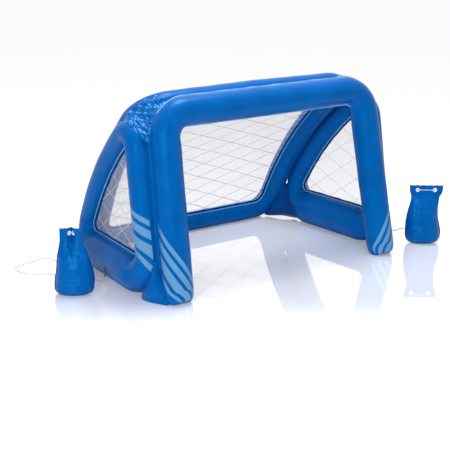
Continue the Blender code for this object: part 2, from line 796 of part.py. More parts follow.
def valve_places(lines):
    """Where each chamber's valve sits: surface point, outward direction and tube direction."""
    share = (lines.corner[2] - FRONT_VALVE_HEIGHT) / (lines.corner[2] - lines.foot[2])
    axis_point, axis = lines.leg(share)
    out = unit(np.array([0, 1, 0]) - axis * axis[1])
    places = {"front": ("front_arch", axis_point + out * LEG_RADIUS, out, axis)}
    bar = lines.rear_bottom(REAR_VALVE_SIDE / lines.rear_bottom(1)[0][0])[0]
    out = np.array([0, math.cos(REAR_VALVE_TILT), math.sin(REAR_VALVE_TILT)])
    places["rear"] = ("rear_ring", bar + out * REAR_BOTTOM_RADIUS, out, np.array([1.0, 0, 0]))
    along = unit(lines.rear - lines.front)
    flat_out = np.array([along[1], -along[0], 0.0])
    centre = lines.front + along * SIDE_VALVE_DISTANCE
    out = flat_out * math.cos(SIDE_VALVE_TILT) + np.array([0, 0, math.sin(SIDE_VALVE_TILT)])
    point = centre + out * SIDE_BOTTOM_RADIUS
    places["right"] = ("side_ring_right", point, out, along)
    places["left"] = ("side_ring_left", mirrored(point), mirrored(out), mirrored(along))
    return places


def make_valve(label, chamber, fat_tube, frame, where, cutters, finish):
    """Seat, stem and plug of one valve. The stem slides outwards and the plug turns on its strap."""
    rim = FLANGE_THICKNESS + GAP + STEM_LIP_THICKNESS
    well = hide_cutter(cylinder(f"well_{label}", COLLAR_RADIUS + GAP, -WELL_DEPTH, 0.02, cutters))
    collar = hide_cutter(cylinder(f"collar_{label}", COLLAR_RADIUS, -COLLAR_DEPTH, FLANGE_THICKNESS / 2, cutters))
    hole = hide_cutter(cylinder(f"stem_hole_{label}", STEM_RADIUS + GAP, -0.03, 0.03, cutters))
    boolean(chamber, well)
    seat = cylinder(f"valve_seat_{label}", FLANGE_RADIUS, -0.004, FLANGE_THICKNESS, where, finish, 2 * VALVE_STEPS)
    boolean(seat, fat_tube)
    boolean(seat, collar, "UNION")
    boolean(seat, hole)
    foot = rim - STEM_LENGTH
    stem = turned(f"valve_stem_{label}", [(STEM_BORE, foot), (STEM_RADIUS, foot),
                                          (STEM_RADIUS, rim - STEM_LIP_THICKNESS),
                                          (STEM_LIP_RADIUS, rim - STEM_LIP_THICKNESS),
                                          (STEM_LIP_RADIUS, rim), (STEM_BORE, rim)],
                  VALVE_STEPS, where, finish)
    half = STRAP_WIDTH / 2
    lug = hide_cutter(box(f"lug_{label}", (STEM_RADIUS, -half, rim - STEM_LIP_THICKNESS),
                          (PLUG_HINGE_REACH - GAP, half, rim), cutters))
    boolean(stem, lug, "UNION")
    # The plug is drawn about its hinge line, which runs along local Y at the rim.
    pin = bmesh.new()
    centre = Matrix.Translation((-PLUG_HINGE_REACH, 0, 0))
    bmesh.ops.create_cone(pin, cap_ends=True, segments=VALVE_STEPS, radius1=PLUG_PIN_TIP, radius2=PLUG_PIN_RADIUS,
                          depth=PLUG_PIN_LENGTH + 2 * GAP,
                          matrix=centre @ Matrix.Translation((0, 0, GAP - PLUG_PIN_LENGTH / 2)))
    plug = from_bmesh(f"valve_plug_{label}", pin, where, finish)
    head = bmesh.new()
    bmesh.ops.create_cone(head, cap_ends=True, segments=VALVE_STEPS, radius1=PLUG_HEAD_RADIUS,
                          radius2=PLUG_HEAD_RADIUS * 0.9, depth=PLUG_HEAD_THICKNESS,
                          matrix=centre @ Matrix.Translation((0, 0, GAP + PLUG_HEAD_THICKNESS / 2)))
    head = hide_cutter(from_bmesh(f"plug_head_{label}", head, cutters))
    strap = hide_cutter(box(f"plug_strap_{label}", (-PLUG_HINGE_REACH * 0.6, -half, GAP),
                            (0, half, GAP + PLUG_HEAD_THICKNESS * 0.7), cutters))
    boolean(plug, head, "UNION")
    boolean(plug, strap, "UNION")
    hinge = frame @ Matrix.Translation((PLUG_HINGE_REACH, 0, rim))
    for made in (well, collar, hole, seat, stem, lug):
        made.matrix_world = frame
    for made in (plug, head, strap):
        made.matrix_world = hinge
    bpy.context.view_layer.update()
    attach(stem, seat)
    attach(plug, stem)


def attach(child, parent):
    """Make one object the parent of another without moving either."""
    place = child.matrix_world.copy()
    child.parent = parent
    child.matrix_parent_inverse = parent.matrix_world.inverted()
    child.matrix_world = place


# Tie tabs and eyelets

def eyelet_profile(bore, barrel, flange, sheet):
    """Half section of an eyelet that clasps a sheet of this thickness."""
    inner = sheet / 2 + GAP
    outer = inner + EYELET_LIP
    return [(bore, -outer), (flange, -inner - EYELET_LIP * 0.4), (flange, -inner), (barrel, -inner),
            (barrel, inner), (flange, inner), (flange, inner + EYELET_LIP * 0.4), (bore, outer)]


def tab_frame(lines, sign):
    """Frame on the outer seam line of a side ring: X along the tube, Y up, Z outwards."""
    along = unit(lines.rear - lines.front)
    out = np.array([along[1], -along[0], 0.0])
    origin = lines.front + along * TAB_DISTANCE + out * (SIDE_BOTTOM_RADIUS + GAP)
    origin[2] = 0.0
    matrix = Matrix.Identity(4)
    # A mirrored frame would turn pieces inside out, so the left one runs the other way.
    x = along if sign > 0 else -mirrored(along)
    z = out if sign > 0 else mirrored(out)
    point = origin if sign > 0 else mirrored(origin)
    for column, vector in enumerate((x, np.array([0, 0, 1.0]), z, point)):
        for row in range(3):
            matrix[row][column] = vector[row]
    if matrix.determinant() < 0:
        for row in range(3):
            matrix[row][0] *= -1
    return matrix


def extruded(name, outline, low, high, where, finish):
    """A prism: an outline in the local YZ plane, run along X from low to high."""
    work = bmesh.new()
    face = work.faces.new([work.verts.new((low, y, z)) for y, z in outline])
    new = bmesh.ops.extrude_face_region(work, geom=[face])["geom"]
    moved = [item for item in new if isinstance(item, bmesh.types.BMVert)]
    bmesh.ops.translate(work, verts=moved, vec=(high - low, 0, 0))
    return from_bmesh(name, work, where, finish)


def make_tab(label, sign, lines, fat_tube, where, cutters, finishes):
    """The black tab, its eyelet and the cord's loop and knot. Returns the knot's centre."""
    frame = tab_frame(lines, sign)
    seam = SIDE_BOTTOM_RADIUS
    outline = [(TAB_TOP, TAB_THICKNESS), (TAB_BOTTOM, TAB_THICKNESS), (TAB_BOTTOM, 0.0),
               (seam * 0.78, 0.0), (seam * 0.83, -0.004), (TAB_TOP, -0.004)]
    tab = extruded(f"tie_tab_{label}", outline, -TAB_WIDTH / 2, TAB_WIDTH / 2, where, finishes.black)
    hole = hide_cutter(cylinder(f"tab_hole_{label}", TAB_EYELET_BARREL + GAP, -0.01, 0.01, cutters, steps=EYELET_STEPS))
    tab.matrix_world = frame
    eye = frame @ Matrix.Translation((0, TAB_EYE_HEIGHT, TAB_THICKNESS / 2))
    hole.matrix_world = eye
    bpy.context.view_layer.update()
    boolean(tab, fat_tube)
    boolean(tab, hole)
    ring = turned(f"tab_eyelet_{label}", eyelet_profile(TAB_EYELET_BORE, TAB_EYELET_BARREL, TAB_EYELET_FLANGE,
                                                        TAB_THICKNESS), EYELET_STEPS, where, finishes.white)
    ring.matrix_world = eye
    # The loop hangs in the eyelet's lower side, in the plane square to the tab.
    radius = CORD_DIAMETER / 2
    top = -(TAB_EYELET_BORE * math.cos(math.pi / EYELET_STEPS) - radius - 2 * GAP)
    turns = np.linspace(0, 2 * math.pi, 17)[:-1]
    loop = np.array([[0, top - LOOP_RADIUS + LOOP_RADIUS * math.cos(t), LOOP_RADIUS * math.sin(t)] for t in turns])
    knot = tube(f"tab_knot_{label}", loop, np.full(len(loop), radius), True, where, finishes.white, 2)
    work = bmesh.new()
    low = top - 2 * LOOP_RADIUS - TAB_KNOT_RADIUS * 0.6
    bmesh.ops.create_icosphere(work, subdivisions=2, radius=TAB_KNOT_RADIUS, matrix=Matrix.Translation((0, low, 0)))
    ball = hide_cutter(from_bmesh(f"knot_ball_{label}", work, cutters))
    for made in (knot, ball):
        made.matrix_world = eye
    bpy.context.view_layer.update()
    boolean(knot, ball, "UNION")
    return np.array(eye @ Vector((0, low, 0)))


# Weight bags and their cords

BAG_ROWS = [
    # shares of the bag's height, half width and half depth
    (0.0000, 0.6061, 0.4348),
    (0.0286, 0.8000, 0.6957),
    (0.0893, 0.9455, 0.9130),
    (0.2500, 1.0061, 1.0000),
    (0.4286, 0.9697, 0.9130),
    (0.5893, 0.9333, 0.6739),
    (0.7143, 0.9212, 0.3696),
    (0.7929, 0.9455, 0.1304),
    (0.8500, 0.9697, 0.0326),
    (1.0000, 1.0000, 0.0326),
]

# The folded top of the left bag, in shares of its half width: flat distance, then place along and back
PLEAT_FLAT = [0.0, 0.1212, 0.6424, 1.0]
PLEAT_ALONG = [0.0, 0.0194, 0.2048, 0.5624]
PLEAT_BACK = [0.2303, 0.2242, 0.0, 0.0]


def bag_line(w, folded):
    """Plan position of the middle of a bag at flat distance w from its centre: (along, back)."""
    share = abs(w) / BAG_HALF_WIDTH
    along = np.interp(share, PLEAT_FLAT, PLEAT_ALONG) * BAG_HALF_WIDTH
    back = np.interp(share, PLEAT_FLAT, PLEAT_BACK) * BAG_HALF_WIDTH
    flat = np.array([w, 0.0])
    return flat + (np.array([np.sign(w) * along, back]) - flat) * folded


def bag_lean(z, pleated):
    """How far the middle of a bag lies to one side at this height."""
    return BAG_LEAN * float(ease(z / (0.82 * BAG_HEIGHT))) if pleated else 0.0


def bag_points(pleated):
    """Closed rows of points of a bag about its own foot: along its width, towards its back and up."""
    scale = np.array([-1, -0.91, -0.79, -0.64, -0.5, -0.36, -0.24, -0.121, 0, 0.121, 0.24, 0.36, 0.5, 0.64,
                      0.79, 0.91, 1])
    rows = []
    for height, wide, deep in BAG_ROWS:
        z, half_width, half_depth = height * BAG_HEIGHT, wide * BAG_HALF_WIDTH, deep * BAG_HALF_DEPTH
        folded = float(ease((height - 0.4286) / 0.4214)) if pleated else 0.0
        width = half_width if not pleated else half_width + (BAG_HALF_WIDTH - half_width) * folded
        middles = np.array([bag_line(s * width, folded) for s in scale])
        ahead = np.gradient(middles, axis=0)
        ahead /= np.linalg.norm(ahead, axis=1)[:, None]
        normals = np.stack([-ahead[:, 1], ahead[:, 0]], axis=1)
        bulge = np.maximum(half_depth * (1 - np.abs(scale) ** 2.4) ** 0.6, HEM_THICKNESS / 2)
        front = middles - normals * bulge[:, None]
        back = middles + normals * bulge[:, None]
        outline = np.vstack([front, back[::-1]]) + [bag_lean(z, pleated), 0.0]
        rows.append(np.column_stack([outline, np.full(len(outline), z)]))
    return np.array(rows)


def lofted(name, rows, where, finish):
    """A closed body from rows of points, each row one closed ring."""
    count = rows.shape[1]
    work = bmesh.new()
    rings = [[work.verts.new(point) for point in row] for row in rows]
    for low, high in zip(rings, rings[1:]):
        for i in range(count):
            j = (i + 1) % count
            work.faces.new([low[i], low[j], high[j], high[i]])
    half = count // 2
    for ring in (rings[0], rings[-1]):
        for i in range(half - 1):
            work.faces.new([ring[i], ring[i + 1], ring[count - 2 - i], ring[count - 1 - i]])
    return from_bmesh(name, work, where, finish, smooth=50)


def bag_frame(sign, points):
    """Frame of a bag on the floor: X along its width, Y towards its back, Z up."""
    across = np.array([math.cos(BAG_TURN), -math.sin(BAG_TURN), 0.0])
    back = np.array([math.sin(BAG_TURN), math.cos(BAG_TURN), 0.0])
    flat = points.reshape(-1, 3)
    reach = (sign * (flat[:, 0] * across[0] + flat[:, 1] * back[0])).max()
    x = sign * (WIDTH / 2 + (LEFT_BAG_DISTANCE if sign < 0 else RIGHT_BAG_DISTANCE) - reach)
    y = LEFT_BAG_Y if sign < 0 else RIGHT_BAG_Y
    return Matrix(((across[0], back[0], 0, x), (across[1], back[1], 0, y), (0, 0, 1, 0), (0, 0, 0, 1)))


def smooth_line(points, per_stretch=24):
    """A dense curve through points (centripetal Catmull-Rom)."""
    points = np.vstack([2 * points[0] - points[1], points, 2 * points[-1] - points[-2]])
    dense = []
    for a, b, c, d in zip(points, points[1:], points[2:], points[3:]):
        t0, t1 = 0.0, np.linalg.norm(b - a) ** 0.5
        t2 = t1 + np.linalg.norm(c - b) ** 0.5
        t3 = t2 + np.linalg.norm(d - c) ** 0.5
        t = np.linspace(t1, t2, per_stretch, endpoint=False)[:, None]
        ab = a + (b - a) * (t - t0) / (t1 - t0)
        bc = b + (c - b) * (t - t1) / (t2 - t1)
        cd = c + (d - c) * (t - t2) / (t3 - t2)
        abc = ab + (bc - ab) * (t - t0) / (t2 - t0)
        bcd = bc + (cd - bc) * (t - t1) / (t3 - t1)
        dense.append(abc + (bcd - abc) * (t - t1) / (t2 - t1))
    return np.vstack([*dense, points[-2:-1]])


def cord_points(route):
    """Points of a cord along its route: wide apart on the floor, close together at the eyelets."""
    dense = smooth_line(route)
    dense[:, 2] = np.maximum(dense[:, 2], CORD_DIAMETER / 2 + GAP)
    steps = np.linalg.norm(np.diff(dense, axis=0), axis=1)
    spacing = np.where(dense[1:, 2] > BAG_HEIGHT - 2 * BAG_EYE_DROP, CORD_SPACING * 0.26, CORD_SPACING)
    travelled = np.concatenate([[0.0], np.cumsum(steps / spacing)])
    length = float(steps.sum())
    marks = np.linspace(0, travelled[-1], int(round(travelled[-1])) + 1)
    return np.stack([np.interp(marks, travelled, dense[:, k]) for k in range(3)], axis=1), length


# Floor routes of the cords: first as seen from the tab's knot, then as seen from the bag's foot
LEFT_FROM_KNOT = [(-0.007, 0.014, 0.008), (-0.011, 0.038, 0.0), (-0.010, 0.068, 0.0), (-0.005, 0.128, 0.0),
                  (0.002, 0.198, 0.0), (-0.004, 0.262, 0.0), (-0.020, 0.325, 0.0)]
LEFT_FROM_BAG = [(0.112, 0.406, 0.0), (0.107, 0.451, 0.0), (0.087, 0.480, 0.0), (0.052, 0.479, 0.0),
                 (0.0, 0.460, 0.0), (-0.055, 0.448, 0.0), (-0.084, 0.425, 0.0), (-0.088, 0.395, 0.0),
                 (-0.076, 0.350, 0.0), (-0.050, 0.314, 0.0), (-0.010, 0.290, 0.0), (0.023, 0.256, 0.0),
                 (0.058, 0.205, 0.0), (0.058, 0.150, 0.0), (0.020, 0.105, 0.0)]
RIGHT_FROM_KNOT = [(0.006, 0.014, 0.008), (0.010, 0.034, 0.0), (0.005, 0.108, 0.0), (0.0, 0.188, 0.0),
                   (0.008, 0.238, 0.0), (0.036, 0.274, 0.0), (0.074, 0.275, 0.0), (0.102, 0.236, 0.0),
                   (0.106, 0.168, 0.0), (0.100, 0.098, 0.0), (0.105, 0.028, 0.0)]
RIGHT_FROM_BAG = [(-0.022, 0.300, 0.0), (-0.010, 0.250, 0.0), (0.010, 0.220, 0.0), (0.030, 0.211, 0.0),
                  (0.079, 0.219, 0.0), (0.104, 0.196, 0.0), (0.100, 0.148, 0.0), (0.078, 0.100, 0.0),
                  (0.055, 0.075, 0.0)]
# Up the back of each bag, in shares of its half width, half depth and height
LEFT_UP = [(-0.2424, 1.2174, 0.0143), (-0.0970, 1.2391, 0.1250), (0.0000, 1.2174, 0.2500),
           (0.1212, 1.1522, 0.4286), (0.2667, 1.0000, 0.5893), (0.3758, 0.8261, 0.7321),
           (0.3636, 0.6522, 0.8357)]
RIGHT_UP = [(0.1212, 1.2174, 0.0143), (0.1697, 1.2391, 0.1250), (0.2182, 1.1957, 0.2500),
            (0.2909, 1.1304, 0.4286), (0.3879, 0.9348, 0.5893), (0.4485, 0.6522, 0.7143),
            (0.4848, 0.4348, 0.8143)]


def make_bag(label, sign, knot, where, cutters, finishes):
    """A bag with its two eyelets, the cord from the tab's knot and the knot behind the second eyelet."""
    pleated = sign < 0
    points = bag_points(pleated)
    frame = bag_frame(sign, points)
    bag = lofted(f"bag_{label}", points, where, finishes.blue)
    bag.matrix_world = frame
    eyes = {}
    for end, hand in (("a", 1), ("b", -1)):
        if pleated:
            first, second = (bag_line(PLEAT_FLAT[k] * BAG_HALF_WIDTH, 1.0) for k in (2, 1))
            middle = (first + second) / 2
            wall = unit(second - first)
            outwards = np.array([wall[1], -wall[0]])
            centre = np.array([hand * middle[0] + BAG_LEAN, middle[1], BAG_HEIGHT - BAG_EYE_DROP])
            normal = np.array([hand * outwards[0], outwards[1], 0.0])
        else:
            centre = np.array([hand * BAG_EYE_SPACING / 2, 0.0, BAG_HEIGHT - BAG_EYE_DROP])
            normal = np.array([0.0, 1.0, 0.0])
        turn = frame_at(centre, normal, [0, 0, 1.0])
        hole = hide_cutter(cylinder(f"hem_hole_{label}_{end}", EYELET_BARREL + GAP, -0.008, 0.008, cutters,
                                    steps=EYELET_STEPS))
        ring = turned(f"bag_eyelet_{label}_{end}", eyelet_profile(EYELET_BORE, EYELET_BARREL, EYELET_FLANGE,
                                                                   HEM_THICKNESS), EYELET_STEPS, where, finishes.white)
        for made in (hole, ring):
            made.matrix_world = frame @ turn
        boolean(bag, hole)
        eyes[end] = (centre, normal)
    bpy.context.view_layer.update()

    def world(point):
        return np.array(frame @ Vector(point))

    face = HEM_THICKNESS / 2 + GAP + EYELET_LIP
    stop = face + GAP + math.sqrt(KNOT_RADIUS ** 2 - EYELET_BORE ** 2)
    (eye_a, out_a), (eye_b, out_b) = eyes["a"], eyes["b"]
    ball_at = world(eye_b + out_b * stop)
    work = bmesh.new()
    bmesh.ops.create_icosphere(work, subdivisions=2, radius=KNOT_RADIUS, matrix=Matrix.Translation(ball_at))
    from_bmesh(f"bag_knot_{label}", work, where, finishes.white)
    end = world(eye_b + out_b * (stop - KNOT_RADIUS - GAP))
    foot = np.array([frame[0][3], frame[1][3], 0.0])
    near, far, up = (LEFT_FROM_KNOT, LEFT_FROM_BAG, LEFT_UP) if pleated else (RIGHT_FROM_KNOT, RIGHT_FROM_BAG,
                                                                            RIGHT_UP)
    base = np.array([knot[0], knot[1], 0.0])
    leave = unit(np.array([near[0][0], near[0][1], near[0][2] - knot[2]]))
    route = [knot + leave * (TAB_KNOT_RADIUS + GAP)]
    route += [base + np.array(point) for point in near]
    route += [foot + np.array(point) for point in far]
    for x, y, z in np.array(up) * [BAG_HALF_WIDTH, BAG_HALF_DEPTH, BAG_HEIGHT]:
        route.append(world((x + bag_lean(z, pleated), y, z)))
    bridge = (eye_a + eye_b) / 2 + np.array([0, -0.011 if not pleated else -0.003, 0.0025])
    route += [world(eye_a + out_a * 0.010 - np.array([0, 0, 0.003])), world(eye_a + out_a * 0.0035),
              world(eye_a - out_a * 0.0030), world(bridge), world(eye_b - out_b * 0.0035), end]
    line, length = cord_points(np.array(route))
    print("cord", label, "length", round(length, 3), "points", len(line))
    tube(f"cord_{label}", line, np.full(len(line), CORD_DIAMETER / 2), False, where, finishes.white, 2)


def main():
    for made in list(bpy.data.objects):
        bpy.data.objects.remove(made, do_unlink=True)
    parts = collection("inflatable_goal")
    cutters = collection("cutters")
    finishes = SimpleNamespace(
        blue=material("blue_vinyl", BLUE, 0.32), deep=material("deep_blue_vinyl", DEEP_BLUE, 0.38),
        film=material("clear_film", FILM, 0.12), white=material("white_print", WHITE, 0.5),
        black=material("black_vinyl", BLACK, 0.4), clear=material("clear_vinyl", CLEAR, 0.25))
    lines = lay_out()
    arch = arch_path(lines)
    side = side_path(lines)
    rear = rear_path(lines)
    floor = floor_cutter(cutters)
    chambers, fat = {}, {}
    paths = {"front_arch": (*arch, False), "rear_ring": (*rear, True),
             "side_ring_left": (mirrored(side[0]), side[1], True), "side_ring_right": (*side, True)}
    # The copies with the clearance added shape whatever is welded against the chambers.
    clear = GAP / math.cos(math.pi / TUBE_SIDES)
    for name, (points, sizes, closed) in paths.items():
        chambers[name] = tube(name, points, sizes, closed, parts, finishes.blue)
        fat[name] = hide_cutter(tube(f"around_{name}", points, sizes + clear, closed, cutters, None))
    for name in ("rear_ring", "side_ring_left", "side_ring_right"):
        boolean(chambers[name], floor)
    make_windows(lines, rear, side, parts, finishes)
    make_webs(lines, fat, parts, finishes)
    for label, (name, point, out, along) in valve_places(lines).items():
        make_valve(label, chambers[name], fat[name], frame_at(point, out, along), parts, cutters, finishes.clear)
    for label, sign in (("left", -1), ("right", 1)):
        knot = make_tab(label, sign, lines, fat[f"side_ring_{label}"], parts, cutters, finishes)
        make_bag(label, sign, knot, parts, cutters, finishes)


if __name__ == "__main__":
    main()
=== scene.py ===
"""Looks of an inflatable football goal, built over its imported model.

Every new piece is a surface worked out with numpy from the goal's centre lines, in metres, +Z up, with the
origin on the floor in the middle of the goal and the mouth facing -Y.
"""
import json
import math
from types import SimpleNamespace

import bmesh
import bpy
import numpy as np
from bpy.props import FloatProperty, FloatVectorProperty, PointerProperty
from mathutils import Matrix, Vector

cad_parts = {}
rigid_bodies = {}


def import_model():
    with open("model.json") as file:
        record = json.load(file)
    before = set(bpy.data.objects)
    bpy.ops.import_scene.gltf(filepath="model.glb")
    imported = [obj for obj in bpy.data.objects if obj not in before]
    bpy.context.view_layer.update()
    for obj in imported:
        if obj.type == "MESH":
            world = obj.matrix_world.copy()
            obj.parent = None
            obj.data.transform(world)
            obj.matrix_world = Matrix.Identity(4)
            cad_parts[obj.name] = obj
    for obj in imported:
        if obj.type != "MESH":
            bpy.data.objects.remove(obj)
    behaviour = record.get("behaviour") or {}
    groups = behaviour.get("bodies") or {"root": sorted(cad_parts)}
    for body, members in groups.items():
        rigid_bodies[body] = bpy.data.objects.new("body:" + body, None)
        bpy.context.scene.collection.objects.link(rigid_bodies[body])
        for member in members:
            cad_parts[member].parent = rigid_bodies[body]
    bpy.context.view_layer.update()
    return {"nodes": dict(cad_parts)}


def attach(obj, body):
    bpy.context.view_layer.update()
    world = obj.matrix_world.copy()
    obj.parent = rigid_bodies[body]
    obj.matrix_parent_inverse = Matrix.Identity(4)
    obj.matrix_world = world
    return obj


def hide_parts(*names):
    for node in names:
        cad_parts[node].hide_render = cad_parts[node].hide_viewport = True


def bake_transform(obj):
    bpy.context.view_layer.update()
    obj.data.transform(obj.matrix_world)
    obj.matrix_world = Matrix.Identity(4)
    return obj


bl_info = {
    "name": "Inflatable Goal Looks",
    "version": (1, 0, 0),
    "blender": (4, 5, 0),
    "location": "View3D > Sidebar > Goal",
    "description": "Builds the visible surfaces, finishes and stage of an inflatable football goal",
    "category": "Object",
}

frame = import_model()

# The goal's driving sizes, the same as in its model
GAP = 0.0003
WIDTH = 1.400
HEIGHT = 0.810
FLOOR_PRESS = 0.0020
LEG_RADIUS = 0.0615
BEAM_RADIUS = 0.0605
SIDE_FRONT_RADIUS = 0.050
SIDE_SLANT_RADIUS = 0.048
SIDE_BOTTOM_RADIUS = 0.081
REAR_SIDE_RADIUS = 0.054
REAR_TOP_RADIUS = 0.054
REAR_BOTTOM_RADIUS = 0.046
BEAM_DROP = 0.009
LEG_LEAN = 0.1415
LEG_SPLAY = 0.025
ARCH_CORNER_RADIUS = 0.108
SIDE_TOP_TURN = math.radians(34.3)
SIDE_FOOT_TURN = math.radians(47.2)
SIDE_TOP_HEIGHT = 0.711
SIDE_LENGTH = 0.617
SIDE_TOE_IN = 0.042
SLANT_BOW = 0.0575
SIDE_TOP_CORNER = 0.072
SIDE_REAR_CORNER = 0.104
SIDE_FRONT_CORNER = 0.104
REAR_TOP_TURN = math.radians(44.0)
REAR_FOOT_TURN = math.radians(40.5)
REAR_TOP_CORNER = 0.118
REAR_BOTTOM_CORNER = 0.102
TOP_BAR_RISE = 0.006
REAR_NET_PITCH = 0.078
REAR_NET_SLOPE = 0.43
SIDE_NET_PITCH = 0.088
SIDE_NET_SLOPE = 0.555
SIDE_NET_TURN = math.radians(-6)

# A leg's sole, which is smaller than in the model, and how far it lies in front of the leg's line
SOLE_RADIUS = 0.034
SOLE_SHIFT = 0.028

# Printed stripes, in metres on a chamber's flat map: u is MAP_RADIUS times the angle from the inner seam,
# v is the distance from the foot of a leg, or from the front corner up the front tube of a side ring.
LEG_STRIPE_SLOPE = 1.58
LEG_STRIPES = [(0.3796, 0.4074), (0.4367, 0.4959), (0.5226, 0.5626), (0.5880, 0.6176)]
LEG_STRIPE_SPAN = (0.177, 0.370)
SIDE_STRIPE_SLOPE = 0.55
SIDE_STRIPES = [(0.0426, 0.0621), (0.0803, 0.1268), (0.1483, 0.1855), (0.2039, 0.2278)]
SIDE_STRIPE_SPAN = (0.014, 0.186)

# Outlines of the sheets that bridge the chambers, right half of the goal, with the way each one faces
GUSSET = [
    (0.450, -0.168, 0.786), (0.473, -0.138, 0.798), (0.523, -0.096, 0.784), (0.563, -0.074, 0.750),
    (0.592, -0.058, 0.703), (0.625, -0.112, 0.690), (0.636, -0.180, 0.668), (0.622, -0.236, 0.652),
    (0.600, -0.262, 0.634), (0.583, -0.258, 0.668), (0.560, -0.240, 0.710), (0.510, -0.205, 0.760),
]
GUSSET_FACING = (0.62, -0.30, 0.72)
GUSSET_FOLDS = (0.0125, 0.054)           # height and spacing
FOOT_WEB = [
    (0.626, -0.334, 0.170), (0.647, -0.317, 0.112), (0.658, -0.297, 0.055), (0.662, -0.282, 0.004),
    (0.652, -0.330, 0.001), (0.632, -0.372, 0.001), (0.609, -0.402, 0.002), (0.6125, -0.382, 0.045),
    (0.6165, -0.353, 0.105),
]
FOOT_WEB_FACING = (0.80, -0.60, 0.05)
FOOT_WEB_FOLDS = (0.0060, 0.036)
FOOT_WEB_CALM = 0.03        # above this height its folds fade
FOOT_WEB_SWELL = 0.014
REAR_WEB_FACING = (-0.62, -0.74, 0.25)
REAR_WEB_FOLDS = (0.0030, 0.030)
REAR_WEB_FLOOR = 0.012      # height of its two lower corners
CREASE_WEB_SPAN = (0.055, 0.66)          # heights of the web in the crease between leg and side ring
CREASE_WEB_DEPTH = 0.016    # how far its middle is drawn into the crease
CREASE_WEB_THICKNESS = 0.0012
SHEET_THICKNESS = 0.0010
SHEET_SINK = 0.0038         # of a bridging sheet's rim into the chambers

# Welded edges along the chambers' seams: how far each one stands out
SEAM_REACH = 0.0040
LEG_SEAM_REACH = 0.0016
BEAM_SEAM_REACH = 0.0052
BEAM_INNER_SEAM_REACH = 0.0030
BEAM_SEAM_FROM = 0.70       # height above which the arch's seams are painted light as highlight
SOLE_TRIM = 10              # rings of the arch at each end that have no seam

# Windows: how far each layer reaches under or past the edge of its tubes
FILM_TUCK = 0.006
BAND_TUCK = 0.005
NET_INSET = 0.002
NET_CENTRE_INSET = 0.0053
NET_THICKNESS = 0.00024
NET_LIFT = 0.00045          # of its middle from the film's
SHORTEST_NET_LINE = 0.012
BEAD_DISTANCE = 0.0095      # of the bead from the film
BEAD_HALF_WIDTH = 0.0020
BEAD_HALF_HEIGHT = 0.0014

TAB_DISTANCE = 0.258        # along the bottom tube, from its front corner
TAB_WIDTH = 0.024
TAB_TOP = 0.078
TAB_BOTTOM = 0.032
TAB_THICKNESS = 0.0015
TAB_EYE_HEIGHT = 0.0440
LOOP_RADIUS = 0.0090
TAB_KNOT_RADIUS = 0.0040
KNOT_RADIUS = 0.0056
TAB_EYELET = (0.0035, 0.0045, 0.0070)    # bore, barrel and flange radius
BAG_EYELET = (0.0045, 0.0057, 0.0095)
EYELET_LIP = 0.0006
CORD_DIAMETER = 0.0035

# The weight bags: how they are turned and where each one stands
BAG_TURN = math.radians(36)
BAG_FOOT = {"left": (-0.8396, -0.075, 0.0), "right": (0.8286, -0.392, 0.0)}
BAG_HEIGHT = 0.280
BAG_HALF_WIDTH = 0.0825
BAG_EYE_DROP = 0.022
BAG_EYE_SPACING = 0.080
HEM_THICKNESS = 0.0030
BAG_LEAN = -0.020           # how far the folded top of the left bag leans along its width
PLEAT_FLAT = (0.0, 0.0100, 0.0530, 0.0825)
PLEAT_ALONG = (0.0, 0.0016, 0.0169, 0.0464)
PLEAT_BACK = (0.0190, 0.0185, 0.0, 0.0)
# Rows of each bag: height, sway of the middle, half width, half depth
LEFT_BAG_ROWS = [
    (0.000, -0.020, 0.058, 0.026), (0.006, -0.017, 0.070, 0.036), (0.022, -0.014, 0.080, 0.044),
    (0.048, -0.010, 0.082, 0.046), (0.070, -0.006, 0.082, 0.046), (0.095, -0.002, 0.078, 0.045),
    (0.120, 0.000, 0.074, 0.042), (0.142, 0.000, 0.0715, 0.036), (0.165, 0.001, 0.0735, 0.029),
    (0.185, 0.001, 0.075, 0.021), (0.203, 0.000, 0.076, 0.014), (0.220, 0.000, 0.078, 0.0065),
    (0.236, 0.000, 0.080, 0.0018), (0.256, 0.000, 0.0825, 0.0015), (0.280, 0.000, 0.0825, 0.0015),
]
RIGHT_BAG_ROWS = [
    (0.000, -0.004, 0.052, 0.020), (0.008, -0.004, 0.069, 0.032), (0.025, -0.005, 0.080, 0.042),
    (0.056, -0.006, 0.0835, 0.046), (0.090, -0.009, 0.080, 0.046), (0.126, -0.012, 0.0745, 0.041),
    (0.150, -0.011, 0.0715, 0.036), (0.172, -0.009, 0.0685, 0.028), (0.192, -0.006, 0.0665, 0.020),
    (0.210, -0.004, 0.0655, 0.013), (0.226, -0.002, 0.0665, 0.0075), (0.240, 0.000, 0.0720, 0.0025),
    (0.254, 0.000, 0.0765, 0.0016), (0.280, 0.000, 0.0775, 0.0015),
]
